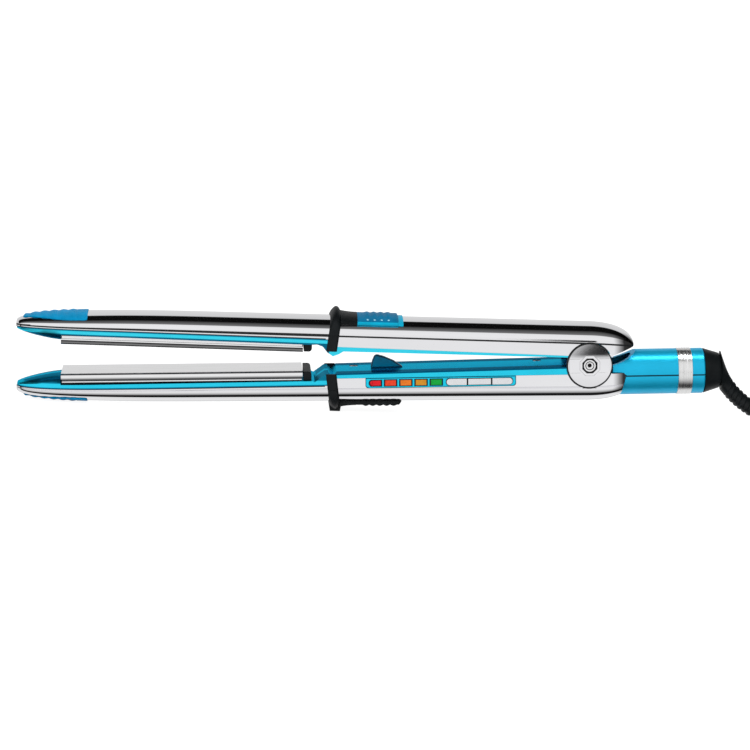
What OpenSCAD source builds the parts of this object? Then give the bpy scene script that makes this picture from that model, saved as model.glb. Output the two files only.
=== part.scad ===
// Professional hair straightener: two hinged arms with floating hot plates and a swivel cord.
// Each arm is drawn in its own bench frame: x runs from the hinge axis to the nose, z points out
// of the closing plane, and -y is the side with the controls. The arms are then set on the hinge.
// All sizes are millimetres.

/* [Arms] */
// Distance from the hinge axis to the tip of the nose
arm_l = 303; // [290:1:320]
// Width of each arm
arm_w = 29; // [28.5:0.5:34]
// Height of each arm above the closing plane, at the hinge
arm_t = 20.8; // [20:0.1:24]
// Height that an arm loses over its length
arm_taper = 4.2; // [3:0.1:5]
// Length of the rounded tail behind the hinge axis
tail_l = 24; // [23:0.5:27]
// Angle between the arms when they are let go
open_angle = 3.2; // [2.8:0.1:6]
// Wall of the outer shells
shell_wall = 1.3; // [1:0.1:1.6]
// Depth of the crease along the sides of the shells
crease_step = 0.35; // [0.2:0.05:0.5]
// Gap between parts that are fitted together
fit_gap = 0.05; // [0.03:0.01:0.08]

/* [Plates] */
// Length of each hot plate
plate_l = 127; // [110:1:130]
// Width of each hot plate
plate_w = 24.8; // [20:0.1:25]
// Thickness of the plate's working face
plate_t = 3.1; // [2.5:0.1:3.4]
// Distance from the plate's front end to the tip of the nose
plate_setback = 24.2; // [22:0.1:28]
// Rise of the plate's back end from the closing plane, which lets the tips close first
plate_toe = 0.7; // [0.4:0.05:0.9]
// How far a plate gives way when it is pressed
plate_float = 0.8; // [0.4:0.1:1]
// Gap between the closed plates at their front ends
plate_gap = 0.2; // [0.1:0.05:0.5]

/* [Handle] */
// Distance from the plate's back end to the finger band
band_setback = 16.8; // [16:0.1:20]
// Width of the finger band
band_w = 5.6; // [4.5:0.1:6.5]
// How far the finger stop stands out of the shell
stop_h = 4.8; // [4:0.1:5.5]
// Length of the ribbed finger pad
pad_l = 24; // [20:0.5:28]
// Pitch of the ribs on the finger pads
pad_pitch = 3.7; // [3:0.1:4.5]
// Length of the ribbed grip on the nose
grip_l = 34; // [28:0.5:36]
// Pitch of the ribs on the nose grips
grip_pitch = 5; // [4:0.1:6]
// Height of the alignment fin above the closing plane
fin_h = 5.1; // [3:0.1:6]
// Thickness of the alignment fin
fin_t = 3.2; // [2:0.1:4]

/* [Controls] */
// Distance from the finger band to the control bezel
bezel_setback = 16.4; // [15:0.1:22]
// Border of the control bezel beyond its last lamp and key
bezel_rim = 1.8; // [1.4:0.1:2.4]
// Gap between the last lamp and the first key
lamp_gap = 2.1; // [1.6:0.1:5]
// Height of the control bezel
bezel_h = 5.3; // [5.2:0.1:5.6]
// Width of one lamp window
lamp_w = 6.6; // [5.5:0.1:7.2]
// Pitch of the lamp windows
lamp_pitch = 8.05; // [7.8:0.05:8.2]
// Height of the lamp windows and of the buttons
lamp_h = 3.4; // [3:0.1:3.8]
// Width of the two outer buttons
button_w = 10.7; // [9:0.1:11]
// Width of the middle button
middle_w = 12.9; // [11:0.1:13]
// Travel of a button
button_travel = 0.6; // [0.3:0.1:0.8]

/* [Hinge] */
// Radius of the hinge caps
cap_r = 12.2; // [11.4:0.1:12.6]
// Radius of the hinge pin
pin_r = 3; // [2.5:0.1:3.5]
// Radius of the hinge knuckles
knuckle_r = 9.5; // [8:0.1:9.8]
// Radial running clearance of the pin
pin_fit = 0.05; // [0.02:0.01:0.09]
// Turns of the hinge spring
spring_turns = 4; // [3:1:4]
// Wire thickness of the hinge spring
spring_wire = 1; // [0.8:0.1:1.1]

/* [Barrel] */
// Outer radius of the cord barrel
barrel_r = 12.1; // [11.5:0.1:12.6]
// Distance from the closing plane to the barrel's axis
barrel_drop = 6.55; // [6:0.05:7]
// Distance from the hinge axis to the end of the barrel
barrel_end = 62.2; // [60:0.2:66]
// Wall of the barrel
barrel_wall = 2; // [1.6:0.1:2.4]
// Width of the metal ring round the barrel
ring_w = 7.6; // [6:0.1:9]
// Distance from the metal ring to the end of the barrel
ring_setback = 6.8; // [5:0.1:8]
// Radius of the swivel's stem
stem_r = 6; // [5:0.1:6.5]
// Length of the swivel's cone
cone_l = 9.2; // [8:0.1:11]

/* [Cord] */
// Diameter of the cord
cord_d = 6; // [5.6:0.1:6.1]
// Width of the plug
plug_w = 24; // [20:0.5:26]
// Thickness of the plug
plug_t = 16; // [14:0.5:18]
// Length of the plug's body
plug_l = 36; // [32:0.5:40]
// Length of the plug's blades
blade_l = 16; // [14:0.5:18]

/* [Hidden] */
$fn = 64;

chrome_c = "gainsboro";
blue_c = "deepskyblue";
black_c = "dimgray";
steel_c = "silver";

// Stations along the arm, counted from the hinge axis
plate_u1 = arm_l - plate_setback;
plate_u0 = plate_u1 - plate_l;
band_u = plate_u0 - band_setback;
button_seam = 0.35;
slot_l = 2 * button_w + middle_w + 2 * button_seam;
lamps_l = 4 * lamp_pitch + lamp_w;
bezel_l = 2 * bezel_rim + slot_l + lamp_gap + lamps_l;
bezel_u = band_u - bezel_setback - bezel_l;

// The shell's outline along the arm
half_w = arm_w / 2;
dome_n = 2.2;               // roundness of the dome across the arm
nose_from = 0.68 * arm_l;    // where the top starts to fall towards the nose
nose_n = 2.45;
nose_side_from = 0.832 * arm_l; // where the sides start to close in
nose_side_n = 2.5;
tip_top = 9.6;              // top of the nose tip above the closing plane
tip_mid = 8.4;
tip_low = 7.2;
crease_back = 12.3;         // crease height at the hinge and at the plate's front end
crease_front = 9.6;
tail_mid = 10.2;
tail_n = 2.2;
tail_side_n = 3;
part_handle = 4.8;          // where shell and liner meet, behind and ahead of the band
part_front = 8.6;
dome_steps = 12;

function blunt(t, n) = t <= 0 ? 1 : t >= 1 ? 0 : pow(1 - pow(t, n), 1 / n);
function spow(x, e) = sign(x) * pow(abs(x), e);
function nose(u) = blunt((u - nose_from) / (arm_l - nose_from), nose_n);
function tail(u) = blunt(-u / tail_l, tail_n);
function top_at(u) = u < 0
    ? tail_mid + (arm_t - tail_mid) * tail(u)
    : arm_t - arm_taper * u / arm_l - (arm_t - arm_taper - tip_top) * (1 - nose(u));
function crease_at(u) = u < 0
    ? tail_mid + (crease_back - tail_mid) * tail(u)
    : let (line = crease_back - (crease_back - crease_front) * min(1, u / (arm_l - plate_setback)))
        line - (line - tip_mid) * (1 - nose(u));
function part_at(u) = u < band_u ? part_handle : part_front - (part_front - tip_low) * (1 - nose(u));
function half_at(u) = u < 0
    ? half_w * blunt(-u / (tail_l + 2), tail_side_n)
    : half_w * blunt((u - nose_side_from) / (arm_l + 0.4 - nose_side_from), nose_side_n);

// One cross-section of the arm's outside, grown outwards by lift, leaning by lean per unit of height
function dome(u, a0, a1, lift, lean = 0, steps = dome_steps) =
    let (h = half_at(u) + lift, mid = crease_at(u), top = top_at(u) + lift)
        [for (i = [0:steps])
            let (a = a0 + (a1 - a0) * i / steps, z = mid + (top - mid) * spow(sin(a), 2 / dome_n))
                [u - lean * z, -h * spow(cos(a), 2 / dome_n), z]];
function section(u, lift, low) =
    let (p = half_at(u) - crease_step + lift, mid = crease_at(u))
        concat([[u, -p, low], [u, -p, mid - 0.15]], dome(u, 0, 180, lift), [[u, p, mid - 0.15], [u, p, low]]);
function turned(ring) = [for (i = [len(ring) - 1:-1:0]) ring[i]];

// Skins between two rows of sections of equal count, drawn as one closed mesh
module loft(rings) {
    n = len(rings);
    m = len(rings[0]);
    sides = [for (k = [0:n - 2], i = [0:m - 1])
        each [[k * m + i, k * m + (i + 1) % m, (k + 1) * m + i],
            [(k + 1) * m + i, k * m + (i + 1) % m, (k + 1) * m + (i + 1) % m]]];
    last = (n - 1) * m;
    caps = [for (i = [0:floor((m - 1) / 2) - 1])
        each [[i, m - 1 - i, i + 1], [i + 1, m - 1 - i, m - 2 - i],
            [last + i, last + i + 1, last + m - 1 - i], [last + i + 1, last + m - 2 - i, last + m - 1 - i]]];
    faces = [for (f = concat(sides, caps)) if (f[0] != f[1] && f[1] != f[2] && f[0] != f[2]) f];
    polyhedron(points = [for (r = rings) each r], faces = faces);
}

tail_us = [for (i = [0:4]) -tail_l * sin(76 - 19 * i)];
mid_us = [0, bezel_u, bezel_u + bezel_l * 0.64, band_u - 0.3, band_u + 0.3, plate_u0 + 18];
nose_us = [for (i = [0:11]) nose_from + (arm_l - nose_from) * sin(7.9 * i)];
arm_us = concat(tail_us, mid_us, nose_us);

module arm_solid(lift, low_by, ends) {
    loft([for (u = arm_us) if (u > -tail_l + ends && u < arm_l - ends)
        section(u, lift, part_at(u) - low_by)]);
}

module on_upper() translate([hinge_x, 0, hinge_z]) mirror([1, 0, 0]) children();
module on_lower() translate([hinge_x, 0, hinge_z]) rotate([0, -open_angle, 0])
    mirror([1, 0, 0]) mirror([0, 0, 1]) children();
// A cylinder along y, centred on the hinge axis
module across(r, from, to) translate([0, from, 0]) rotate([-90, 0, 0]) cylinder(r = r, h = to - from);
module block(a, b) translate(a) cube(b - a);
// A side view, given as points in x and z, drawn through the width from y0 to y1
module side_view(points, y0, y1) translate([0, y1, 0]) rotate([90, 0, 0])
    linear_extrude(height = y1 - y0) polygon(points);

// Plate frame
toe_angle = atan(plate_toe / plate_l);
carrier_t = 3.2;
carrier_in = 0.4;           // how much narrower the carrier is than the plate, per side
plate_seam = 0.1;
cushion_t = 1.4;
well_gap = 0.2;             // gap round a plate in the liner
carrier_top = plate_gap / 2 + plate_t + plate_seam + carrier_t;
well_top = carrier_top + plate_toe + plate_float + 0.1;

// Liner heights above the closing plane
upper_face = 5.3;
lower_face = 6;
upper_face_band = 2.4;
upper_face_hinge = 3.8;
lower_face_band = 2.2;
lower_face_hinge = 0.7;
function upper_at(u) = upper_face_hinge + (upper_face_band - upper_face_hinge) * u / (band_u - 4.5);
function lower_at(u) = lower_face_hinge + (lower_face_band - lower_face_hinge) * u / (band_u - 1.5);
liner_in = 0.1;             // how far the liner lies inside the shell's side
wedge_low = 1.1;
wedge_n = 1.35;
hinge_clear = 1;            // room round the knuckles

// The lower arm rests on its nose grip and on the finger rest's foot
grip_lift = 0.9;
rest_u = plate_u1 - 1.3;
rest_w = top_at(rest_u) + grip_lift;
hinge_z = rest_u * sin(open_angle) + rest_w * cos(open_angle) - 0.1;

// The barrel's axis passes this far from the hinge axis, along the lower arm
cone_end = barrel_end + 0.3 + cone_l;
cone_end_r = 9.4;
cone_chamfer = 1.4;
reach = cone_end * cos(open_angle) + (barrel_drop + cone_end_r - cone_chamfer) * sin(open_angle);
hinge_x = (arm_l - reach) / 2;

module shell_blank() {
    difference() {
        arm_solid(0, 0, 0);
        arm_solid(-shell_wall, 1, 2.5);
        across(cap_r + 0.3, -half_w - 1, half_w + 1);
    }
}

// Under edge of the upper shell's tail, which clears the barrel's neck
tail_cut = [[-tail_l - 3, 11.6], [-tail_l, 10.6], [-cap_r, 5.6], [-cap_r, -5], [-tail_l - 3, -5]];
// Where the lower shell ends at the barrel
neck_top_u = -19.6;
neck_low_u = -16.4;
neck_w = barrel_drop + barrel_r;
shell_end = [[neck_top_u, -1], [neck_top_u, barrel_drop], [neck_low_u, neck_w + 0.3],
    [neck_low_u, neck_w + 8], [-tail_l - 9, neck_w + 8], [-tail_l - 9, -1]];

module upper_shell() color(chrome_c) on_upper() difference() {
    shell_blank();
    side_view(tail_cut, -half_w - 1, half_w + 1);
}

bezel_w0 = part_handle + 0.1;
bezel_w1 = bezel_w0 + bezel_h;
module bezel_outline(grow) {
    r = 1.6;
    u0 = bezel_u - grow;
    u1 = bezel_u + bezel_l + grow;
    difference() {
        translate([u0, bezel_w0 - 1]) square([u1 - u0, bezel_w1 + grow - bezel_w0 + 1]);
        for (end = [[u0, 1], [u1, -1]]) translate([end[0], bezel_w1 + grow]) difference() {
            square(2 * r, center = true);
            translate([end[1] * r, -r]) circle(r = r);
        }
    }
}
module lower_shell() color(chrome_c) on_lower() difference() {
    shell_blank();
    side_view(shell_end, -half_w - 1, half_w + 1);
    translate([0, -half_w + 3, 0]) rotate([90, 0, 0]) linear_extrude(height = 5) bezel_outline(0.1);
}

// Liners: trays that close the shells, with the nose wedge, plate well and hinge knuckles
plan_us = [for (i = [0:10]) nose_side_from + (plate_u1 + 0.3 - nose_side_from) * i / 10];
module liner_plan() {
    edge = concat([[0, half_w - crease_step - liner_in]],
        [for (u = plan_us) [u, half_at(u) - crease_step - liner_in]]);
    polygon(concat(edge, [for (p = turned(edge)) [p[0], -p[1]]]));
}
wedge_us = [for (i = [0:8]) plate_u1 + 0.3 + (arm_l - 0.6 - plate_u1 - 0.3) * sin(90 * i / 8)];
function wedge_section(u) =
    let (h = half_at(u) - crease_step - liner_in, top = part_at(u) - fit_gap,
        t = (u - plate_u1 - 0.3) / (arm_l + 0.5 - plate_u1 - 0.3),
        low = wedge_low + (tip_low - 0.5 - wedge_low) * (1 - blunt(t, wedge_n)))
        concat([for (i = [0:10]) let (a = 18 * i)
            [u, -h * spow(cos(a), 2 / 2.6), top - 0.3 - (top - 0.3 - low) * spow(sin(a), 2 / 2.6)]],
            [[u, h, top], [u, 0, top], [u, -h, top]]);
module wedge() loft([for (u = wedge_us) turned(wedge_section(u))]);

module knuckles(from, to) for (side = [-1, 1]) {
    across(knuckle_r, side > 0 ? from : -to, side > 0 ? to : -from);
}
module knuckle_roots(from, to, low, high) for (side = [-1, 1]) {
    y0 = side > 0 ? from : -to;
    block([0, y0, low], [knuckle_r + hinge_clear + 2, y0 + to - from, high]);
}
cheek_in = 8.4;
cheek_out = 12.2;
lug_in = 3.2;
lug_out = 8.1;
lug_tip = -0.4;
lug_half = half_w - 2;
fin_u1 = band_u - 19.6;
fin_u0 = fin_u1 - 17.4;

upper_tray = [[knuckle_r + hinge_clear, part_handle - fit_gap], [knuckle_r + hinge_clear, upper_face_hinge],
    [band_u - 4.5, upper_face_band], [band_u - 2, 0.8], [band_u + 1, lug_tip], [band_u + 4, 1.6],
    [band_u + 6.5, 4.6], [band_u + 9.5, upper_face + 0.3], [band_u + 13, upper_face],
    [plate_u1 + 0.3, upper_face], [plate_u1 + 0.3, part_front - fit_gap],
    [band_u + 0.1, part_front - fit_gap], [band_u + 0.1, part_handle - fit_gap]];
lower_tray = [[knuckle_r + hinge_clear, part_handle - fit_gap], [knuckle_r + hinge_clear, lower_face_hinge],
    [band_u - 1.5, lower_face_band], [band_u + 0.8, 4.3], [band_u + 3.2, 2.5],
    [band_u + 5, 2.6], [band_u + 10.5, lower_face + 0.5], [band_u + 11.5, lower_face],
    [plate_u1 + 0.3, lower_face], [plate_u1 + 0.3, part_front - fit_gap],
    [band_u + 0.1, part_front - fit_gap], [band_u + 0.1, part_handle - fit_gap]];
boss_us = [26, band_u - 11];
boss_y = 6.6;
boss_r = 3.6;
screw_r = 1.2;
head_r = 2.3;
head_t = 1.1;
roof_t = 2.4;
roof_half = half_w - 3.8;
module tray(points) {
    difference() {
        union() {
            intersection() {
                side_view(points, -half_w, half_w);
                translate([0, 0, -5]) linear_extrude(height = 30) liner_plan();
            }
            // The roof over the plate well, inside the shell
            block([plate_u0 - 2, -roof_half, part_front - 1], [plate_u1 + 0.3, roof_half, well_top + roof_t]);
        }
        block([plate_u0 - well_gap, -plate_w / 2 - well_gap, -1], [plate_u1 + 0.29, plate_w / 2 + well_gap, well_top]);
        for (u = cushion_us) block([u - cushion_s / 2 - fit_gap, -cushion_s / 2 - fit_gap, well_top - 1],
            [u + cushion_s / 2 + fit_gap, cushion_s / 2 + fit_gap, well_top + cushion_t]);
        for (side = [-1, 1]) across(cap_r + 0.3, side > 0 ? cap_in - 0.2 : -half_w - 1, side > 0 ? half_w + 1 : 0.2 - cap_in);
    }
}
module bosses(low) for (u = boss_us)
    translate([u, boss_y, low]) cylinder(r = boss_r, h = top_at(u) - shell_wall - 1.8 - low);
// A countersunk hole through the liner's face w into each boss
module boss_hole(u, w) translate([u, boss_y, 0]) {
    translate([0, 0, w - 3]) cylinder(r = head_r + 0.15, h = 3 + 0.3 + head_t);
    translate([0, 0, w]) cylinder(r = screw_r + fit_gap, h = 8);
}
module liner_screw(u, w) translate([u, boss_y, w + 0.25]) {
    difference() {
        cylinder(r = head_r, h = head_t);
        translate([0, 0, -1]) cylinder(r = 1.1, h = 1.6, $fn = 6);
    }
    translate([0, 0, head_t - 0.1]) cylinder(r = screw_r, h = 6.5);
}

module upper_liner() color(blue_c) on_upper() difference() {
    union() {
        tray(upper_tray);
        wedge();
        knuckles(lug_in, lug_out);
        knuckle_roots(lug_in, lug_out, upper_face_hinge, part_handle - fit_gap);
        bosses(part_handle - 1);
        side_view([[-tail_l + 1.6, 11.6], [-tail_l + 0.9, 10.4], [-cap_r - 0.1, 5.5], [-5, 5.5], [-5, 7.2],
            [-cap_r + 1, 7.2]], -lug_out, lug_out);
    }
    across(pin_r + pin_fit, -lug_out - 1, lug_out + 1);
    across(knuckle_r + hinge_clear / 2, -lug_in, lug_in);
    block([fin_u0 - 1.5, -fin_t / 2 - 0.8, 0], [fin_u1 + 1.5, fin_t / 2 + 0.8, fin_h + 1.5]);
    for (u = boss_us) boss_hole(u, upper_at(u));
}

saddle_us = [60, plate_u0 - 12];
wire_y = 1.7;
wire_r = 1.2;
wire_back = 30;
wire_w = 11.2;
module lower_liner() color(blue_c) on_lower() difference() {
    union() {
        tray(lower_tray);
        wedge();
        knuckles(cheek_in, cheek_out);
        knuckle_roots(cheek_in, cheek_out, lower_face_hinge, part_handle - fit_gap);
        bosses(part_handle - 1);
        for (u = saddle_us, side = [-1, 1])
            block([u - 1.5, side * wire_y - 1.5, part_handle - 1], [u + 1.5, side * wire_y + 1.5, wire_w - wire_r - 0.1]);
    }
    across(pin_r + pin_fit, -cheek_out - 1, cheek_out + 1);
    across(knuckle_r + hinge_clear / 2, -cheek_in + fit_gap, cheek_in - fit_gap);
    for (u = boss_us) boss_hole(u, lower_at(u));
}

module lower_liner_screws() color(steel_c) {
    on_lower() for (u = boss_us) liner_screw(u, lower_at(u));
}
module upper_liner_screws() color(steel_c) on_upper() for (u = boss_us) liner_screw(u, upper_at(u));

// Hot plates
module plate_profile() {
    r = 1.2;
    h = plate_t;
    translate([-plate_w / 2, r]) square([plate_w, h - r]);
    translate([-plate_w / 2 + r, 0]) square([plate_w - 2 * r, h]);
    for (side = [-1, 1]) translate([side * (plate_w / 2 - r), r]) circle(r = r);
}
// A bar along the arm, its section in y and z, sloped with the plate
module along(u0, u1, w) translate([plate_u1, 0, plate_gap / 2]) rotate([0, toe_angle, 0])
    translate([u0 - plate_u1, 0, w]) rotate([90, 0, 90]) linear_extrude(height = u1 - u0) children();
module plate() along(plate_u0, plate_u1, 0) plate_profile();
carrier_half = plate_w / 2 - carrier_in;
heater_l = plate_l - 27;
heater_w = 14;
heater_t = 1.6;
heater_mid = (plate_u0 + plate_u1) / 2;
carrier_low = plate_t + plate_seam;
cushion_s = 8;
cushion_us = [plate_u0 + plate_l / 8, plate_u1 - plate_l / 8];
module carrier() difference() {
    along(plate_u0 + 0.5, plate_u1 - 0.5, carrier_low) translate([-carrier_half, 0]) square([2 * carrier_half, carrier_t]);
    along(heater_mid - heater_l / 2 - 1, heater_mid + heater_l / 2 + 4, carrier_low - 1)
        translate([-heater_w / 2 - fit_gap, 0]) square([heater_w + 2 * fit_gap, heater_t + 1.1]);
}
module heater() along(heater_mid - heater_l / 2, heater_mid + heater_l / 2, carrier_low)
    translate([-heater_w / 2, 0]) square([heater_w, heater_t]);
module sensor() along(heater_mid + heater_l / 2 + 0.3, heater_mid + heater_l / 2 + 3.6, carrier_low + 0.8) circle(r = 0.75);
module cushions() for (u = cushion_us)
    block([u - cushion_s / 2, -cushion_s / 2, well_top - 0.05],
        [u + cushion_s / 2, cushion_s / 2, well_top + cushion_t - fit_gap]);

module lower_plate() color(steel_c) on_lower() plate();
module upper_plate() color(steel_c) on_upper() plate();
module lower_carrier() color("slategray") on_lower() carrier();
module upper_carrier() color("slategray") on_upper() carrier();
module lower_heater() color("ivory") on_lower() heater();
module upper_heater() color("ivory") on_upper() heater();
module lower_sensor() color("tan") on_lower() sensor();
module upper_sensor() color("tan") on_upper() sensor();
module lower_cushions() color("coral") on_lower() cushions();
module upper_cushions() color("coral") on_upper() cushions();

// Rubber stops behind the plates
plate_stop_t = 4.2;
module plate_stop(face, top) {
    u1 = plate_u0 - well_gap - 0.3;
    u0 = u1 - plate_stop_t;
    r = 1.4;
    for (side = [0]) side_view([[u0, face - fit_gap], [u0, top + r], [u0 + r * 0.3, top + r * 0.3],
        [u0 + r, top], [u1, top], [u1, face - fit_gap]], -plate_w / 2 + 0.4, plate_w / 2 - 0.4);
}
module lower_plate_stop() color(black_c) on_lower() plate_stop(lower_face, plate_toe + 0.5);
module upper_plate_stop() color(black_c) on_upper() plate_stop(upper_face, plate_toe + 0.5);

// Rubber pads that lie on the dome: rings that follow it from angle a0 round to the other side
function skin(u, a0, lift, steps, lean = 0) = concat(
    dome(u, a0, 180 - a0, lift, lean, steps), turned(dome(u, a0, 180 - a0, fit_gap + 0.02, lean, steps)));
grip_u1 = arm_l - 3.6;
grip_u0 = grip_u1 - grip_l;
grip_ribs = 5;
grip_smooth = grip_l - (grip_ribs + 0.6) * grip_pitch;
grip_steps = (grip_ribs + 0.6) * 4;
function grip_thick(u) =
    let (past = u - grip_u0 - grip_smooth)
        past < 0 ? grip_lift * 0.6 : grip_lift * (0.72 - 0.28 * cos(360 * past / grip_pitch));
module tip_grip() loft(concat(
    [skin(grip_u0, 34, 0.3, 10), skin(grip_u0 + 0.4, 33, grip_lift * 0.6, 10)],
    [for (i = [0:22]) let (u = grip_u0 + grip_smooth + (grip_u1 - 0.6 - grip_u0 - grip_smooth) * i / 22)
        skin(u, 33, grip_thick(u), 10)],
    [skin(grip_u1, 36, 0.2, 10)]));
module lower_tip_grip() color(blue_c) on_lower() difference() {
    tip_grip();
    below_floor();
}
module upper_tip_grip() color(blue_c) on_upper() tip_grip();
// What would lie under the floor, in the lower arm's bench frame
module below_floor() rotate([0, open_angle, 0]) translate([0, -50, hinge_z]) cube([400, 100, 50]);

// Finger rests: a leaning band round the shell with a finger stop on its crown
band_lean = 0.1;
band_lift = 1;
stop_us = [-4.6, -3.6, -2.2, -1, 1, 2.2, 3.2];
stop_hs = [0.34, 0.42, 0.66, 0.9, 1, 0.8, 0.3];
function band_section(u, lift, top_lift) =
    let (low = 2.3, h = half_at(u) + lift, p = half_at(u) - crease_step + lift, mid = crease_at(u),
        top = top_at(u) + top_lift)
        concat([[u + 0.4 * 5 - band_lean * low, -p, low], [u + 2 - band_lean * mid, -p, mid]],
            [for (i = [0:dome_steps]) let (a = 180 * i / dome_steps,
                z = mid + (top - mid) * spow(sin(a), 2 / dome_n))
                [u + 2 - band_lean * z, -h * spow(cos(a), 2 / dome_n), z]],
            [[u + 2 - band_lean * mid, p, mid], [u + 2 - band_lean * low, p, low]]);
module band() loft([for (k = [0:4])
    let (u = band_u + band_w * (k - 2) / 4, edge = k == 0 || k == 4 ? 0.45 : 1)
        concat(band_section(u, band_lift * edge, stop_h * [0.3, 0.75, 1, 0.85, 0.3][k]),
            turned(band_section(u, 0.12, 0.12)))]);
pad_u1 = band_u - band_w / 2 - 0.2;
collar_l = 8.6;
pad_u0 = pad_u1 - collar_l;
pad_lift = 1.6;
pad_a = 38;
low_pad_lift = 2.3;
low_pad_a = 60;
module collar(a0, lift) loft([for (k = [0:4]) let (u = pad_u0 + 0.3 + (pad_u1 + 0.6 - pad_u0) * k / 4)
    skin(u, a0, lift + 0.1 + 0.9 * pow(k / 4, 2), 12)]);
module upper_finger_rest() color(black_c) on_upper() union() {
    band();
    collar(pad_a, pad_lift);
}
function pad_thick(u, n, lift) = let (past = (pad_u0 - u - 3.2) / pad_pitch)
    lift + (past > 0 && past < n ? 0.3 - 0.3 * cos(360 * past) : 0);
function pad_rings(u1, u0, n, a0, lift) = concat(
    [for (i = [0:4 * n + 6]) let (u = u1 - (u1 - u0 - 1) * i / (4 * n + 6)) skin(u, a0, pad_thick(u, n, lift), 12)],
    [skin(u0, a0 + 6, 0.4, 12)]);
module upper_finger_pad() color(blue_c) on_upper() loft(turned(pad_rings(pad_u0, pad_u0 - pad_l, 4, pad_a, pad_lift)));
module lower_finger_rest() color(black_c) on_lower() difference() {
    union() {
        band();
        collar(low_pad_a, low_pad_lift);
        loft(turned(pad_rings(pad_u0 + 0.35, pad_u0 - pad_l, 5, low_pad_a, low_pad_lift)));
        // The foot that the arm rests on
        side_view([[band_u + 2.2, top_at(band_u) + 1], [band_u + 1.6, rest_w + 9], [band_u - 3, rest_w + 9],
            [band_u - 4.4, top_at(band_u) + 1]], -6, 6);
    }
    below_floor();
}

// Control bezel, its five lamps and three buttons, on the lower arm's side
bezel_y = -half_w + crease_step - 0.2;
bezel_t = 1.7;
lamp_mid = (bezel_w0 + bezel_w1) / 2;
lamp_end = bezel_u + bezel_l - bezel_rim;
module through_bezel(u0, u1, grow, y0, y1, round_low, round_high) {
    h = lamp_h / 2 + grow;
    translate([0, y1, lamp_mid]) rotate([90, 0, 0]) linear_extrude(height = y1 - y0) {
        translate([u0 - grow + (round_low ? h : 0), -h])
            square([u1 - u0 + 2 * grow - (round_low ? h : 0) - (round_high ? h : 0), 2 * h]);
        if (round_low) translate([u0 - grow + h, 0]) circle(r = h);
        if (round_high) translate([u1 + grow - h, 0]) circle(r = h);
    }
}
function lamp_u(i) = lamp_end - lamp_w - lamp_pitch * i;
slot_u0 = bezel_u + bezel_rim;
slot_u1 = slot_u0 + slot_l;
module control_bezel() color(blue_c) on_lower() difference() {
    intersection() {
        translate([0, bezel_y + bezel_t, 0]) rotate([90, 0, 0]) linear_extrude(height = bezel_t) bezel_outline(0);
        block([0, -half_w - 1, bezel_w0], [arm_l, 0, bezel_w1 + 1]);
    }
    for (i = [0:4]) through_bezel(lamp_u(i), lamp_u(i) + lamp_w, fit_gap, bezel_y - 1, bezel_y + 3, false, i == 0);
    through_bezel(slot_u0, slot_u1, 0.15, bezel_y - 1, bezel_y + 3, true, true);
}
module lamp(i) on_lower() through_bezel(lamp_u(i), lamp_u(i) + lamp_w, 0, bezel_y - 0.15, bezel_y + bezel_t, false, i == 0);
module lamp_red() color("red") lamp(0);
module lamp_scarlet() color("orangered") lamp(1);
module lamp_orange() color("orange") lamp(2);
module lamp_amber() color("goldenrod") lamp(3);
module lamp_green() color("limegreen") lamp(4);

button_out = 0.45;
button_back = 0.5;
module button(u0, w, round_low, round_high) on_lower() through_bezel(u0, u0 + w, 0,
    bezel_y - button_out, bezel_y + bezel_t + button_back, round_low, round_high);
middle_u = slot_u0 + button_w + button_seam;
last_u = middle_u + middle_w + button_seam;
module power_button() color(chrome_c) button(slot_u0, button_w, true, false);
module plus_button() color(chrome_c) button(middle_u, middle_w, false, false);
module minus_button() color(chrome_c) button(last_u, button_w, false, true);

board_y = bezel_y + bezel_t + button_back + button_travel + 2.2;
board_t = 1.2;
board_low = part_handle + 0.05;
module circuit_board() color("seagreen") on_lower()
    block([bezel_u + 0.5, board_y, board_low], [bezel_u + bezel_l - 0.5, board_y + board_t, board_low + bezel_h + 0.9]);
led_s = 2;
module lamp_leds() color("white") on_lower() for (i = [0:4])
    block([lamp_u(i) + lamp_w / 2 - led_s / 2, board_y - 2.4, lamp_mid - led_s / 2],
        [lamp_u(i) + lamp_w / 2 + led_s / 2, board_y - 0.02, lamp_mid + led_s / 2]);
module button_switches() color("darkslategray") on_lower()
    for (u = [slot_u0 + button_w / 2, middle_u + middle_w / 2, last_u + button_w / 2])
        block([u - 2, board_y - 1.9, lamp_mid - 1.5], [u + 2, board_y - 0.02, lamp_mid + 1.5]);

// Alignment fin on the lower liner
fin_seat = lower_at(fin_u0);
module alignment_fin() color("steelblue") on_lower() side_view([[fin_u1, fin_seat + 0.12], [fin_u1 - 0.9, -2],
    [fin_u1 - 2.1, -fin_h + 0.5], [fin_u1 - 3.4, -fin_h], [fin_u1 - 7, -fin_h + 1], [fin_u1 - 12.4, -1.7],
    [fin_u0, fin_seat - 0.1]], -fin_t / 2, fin_t / 2);

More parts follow.
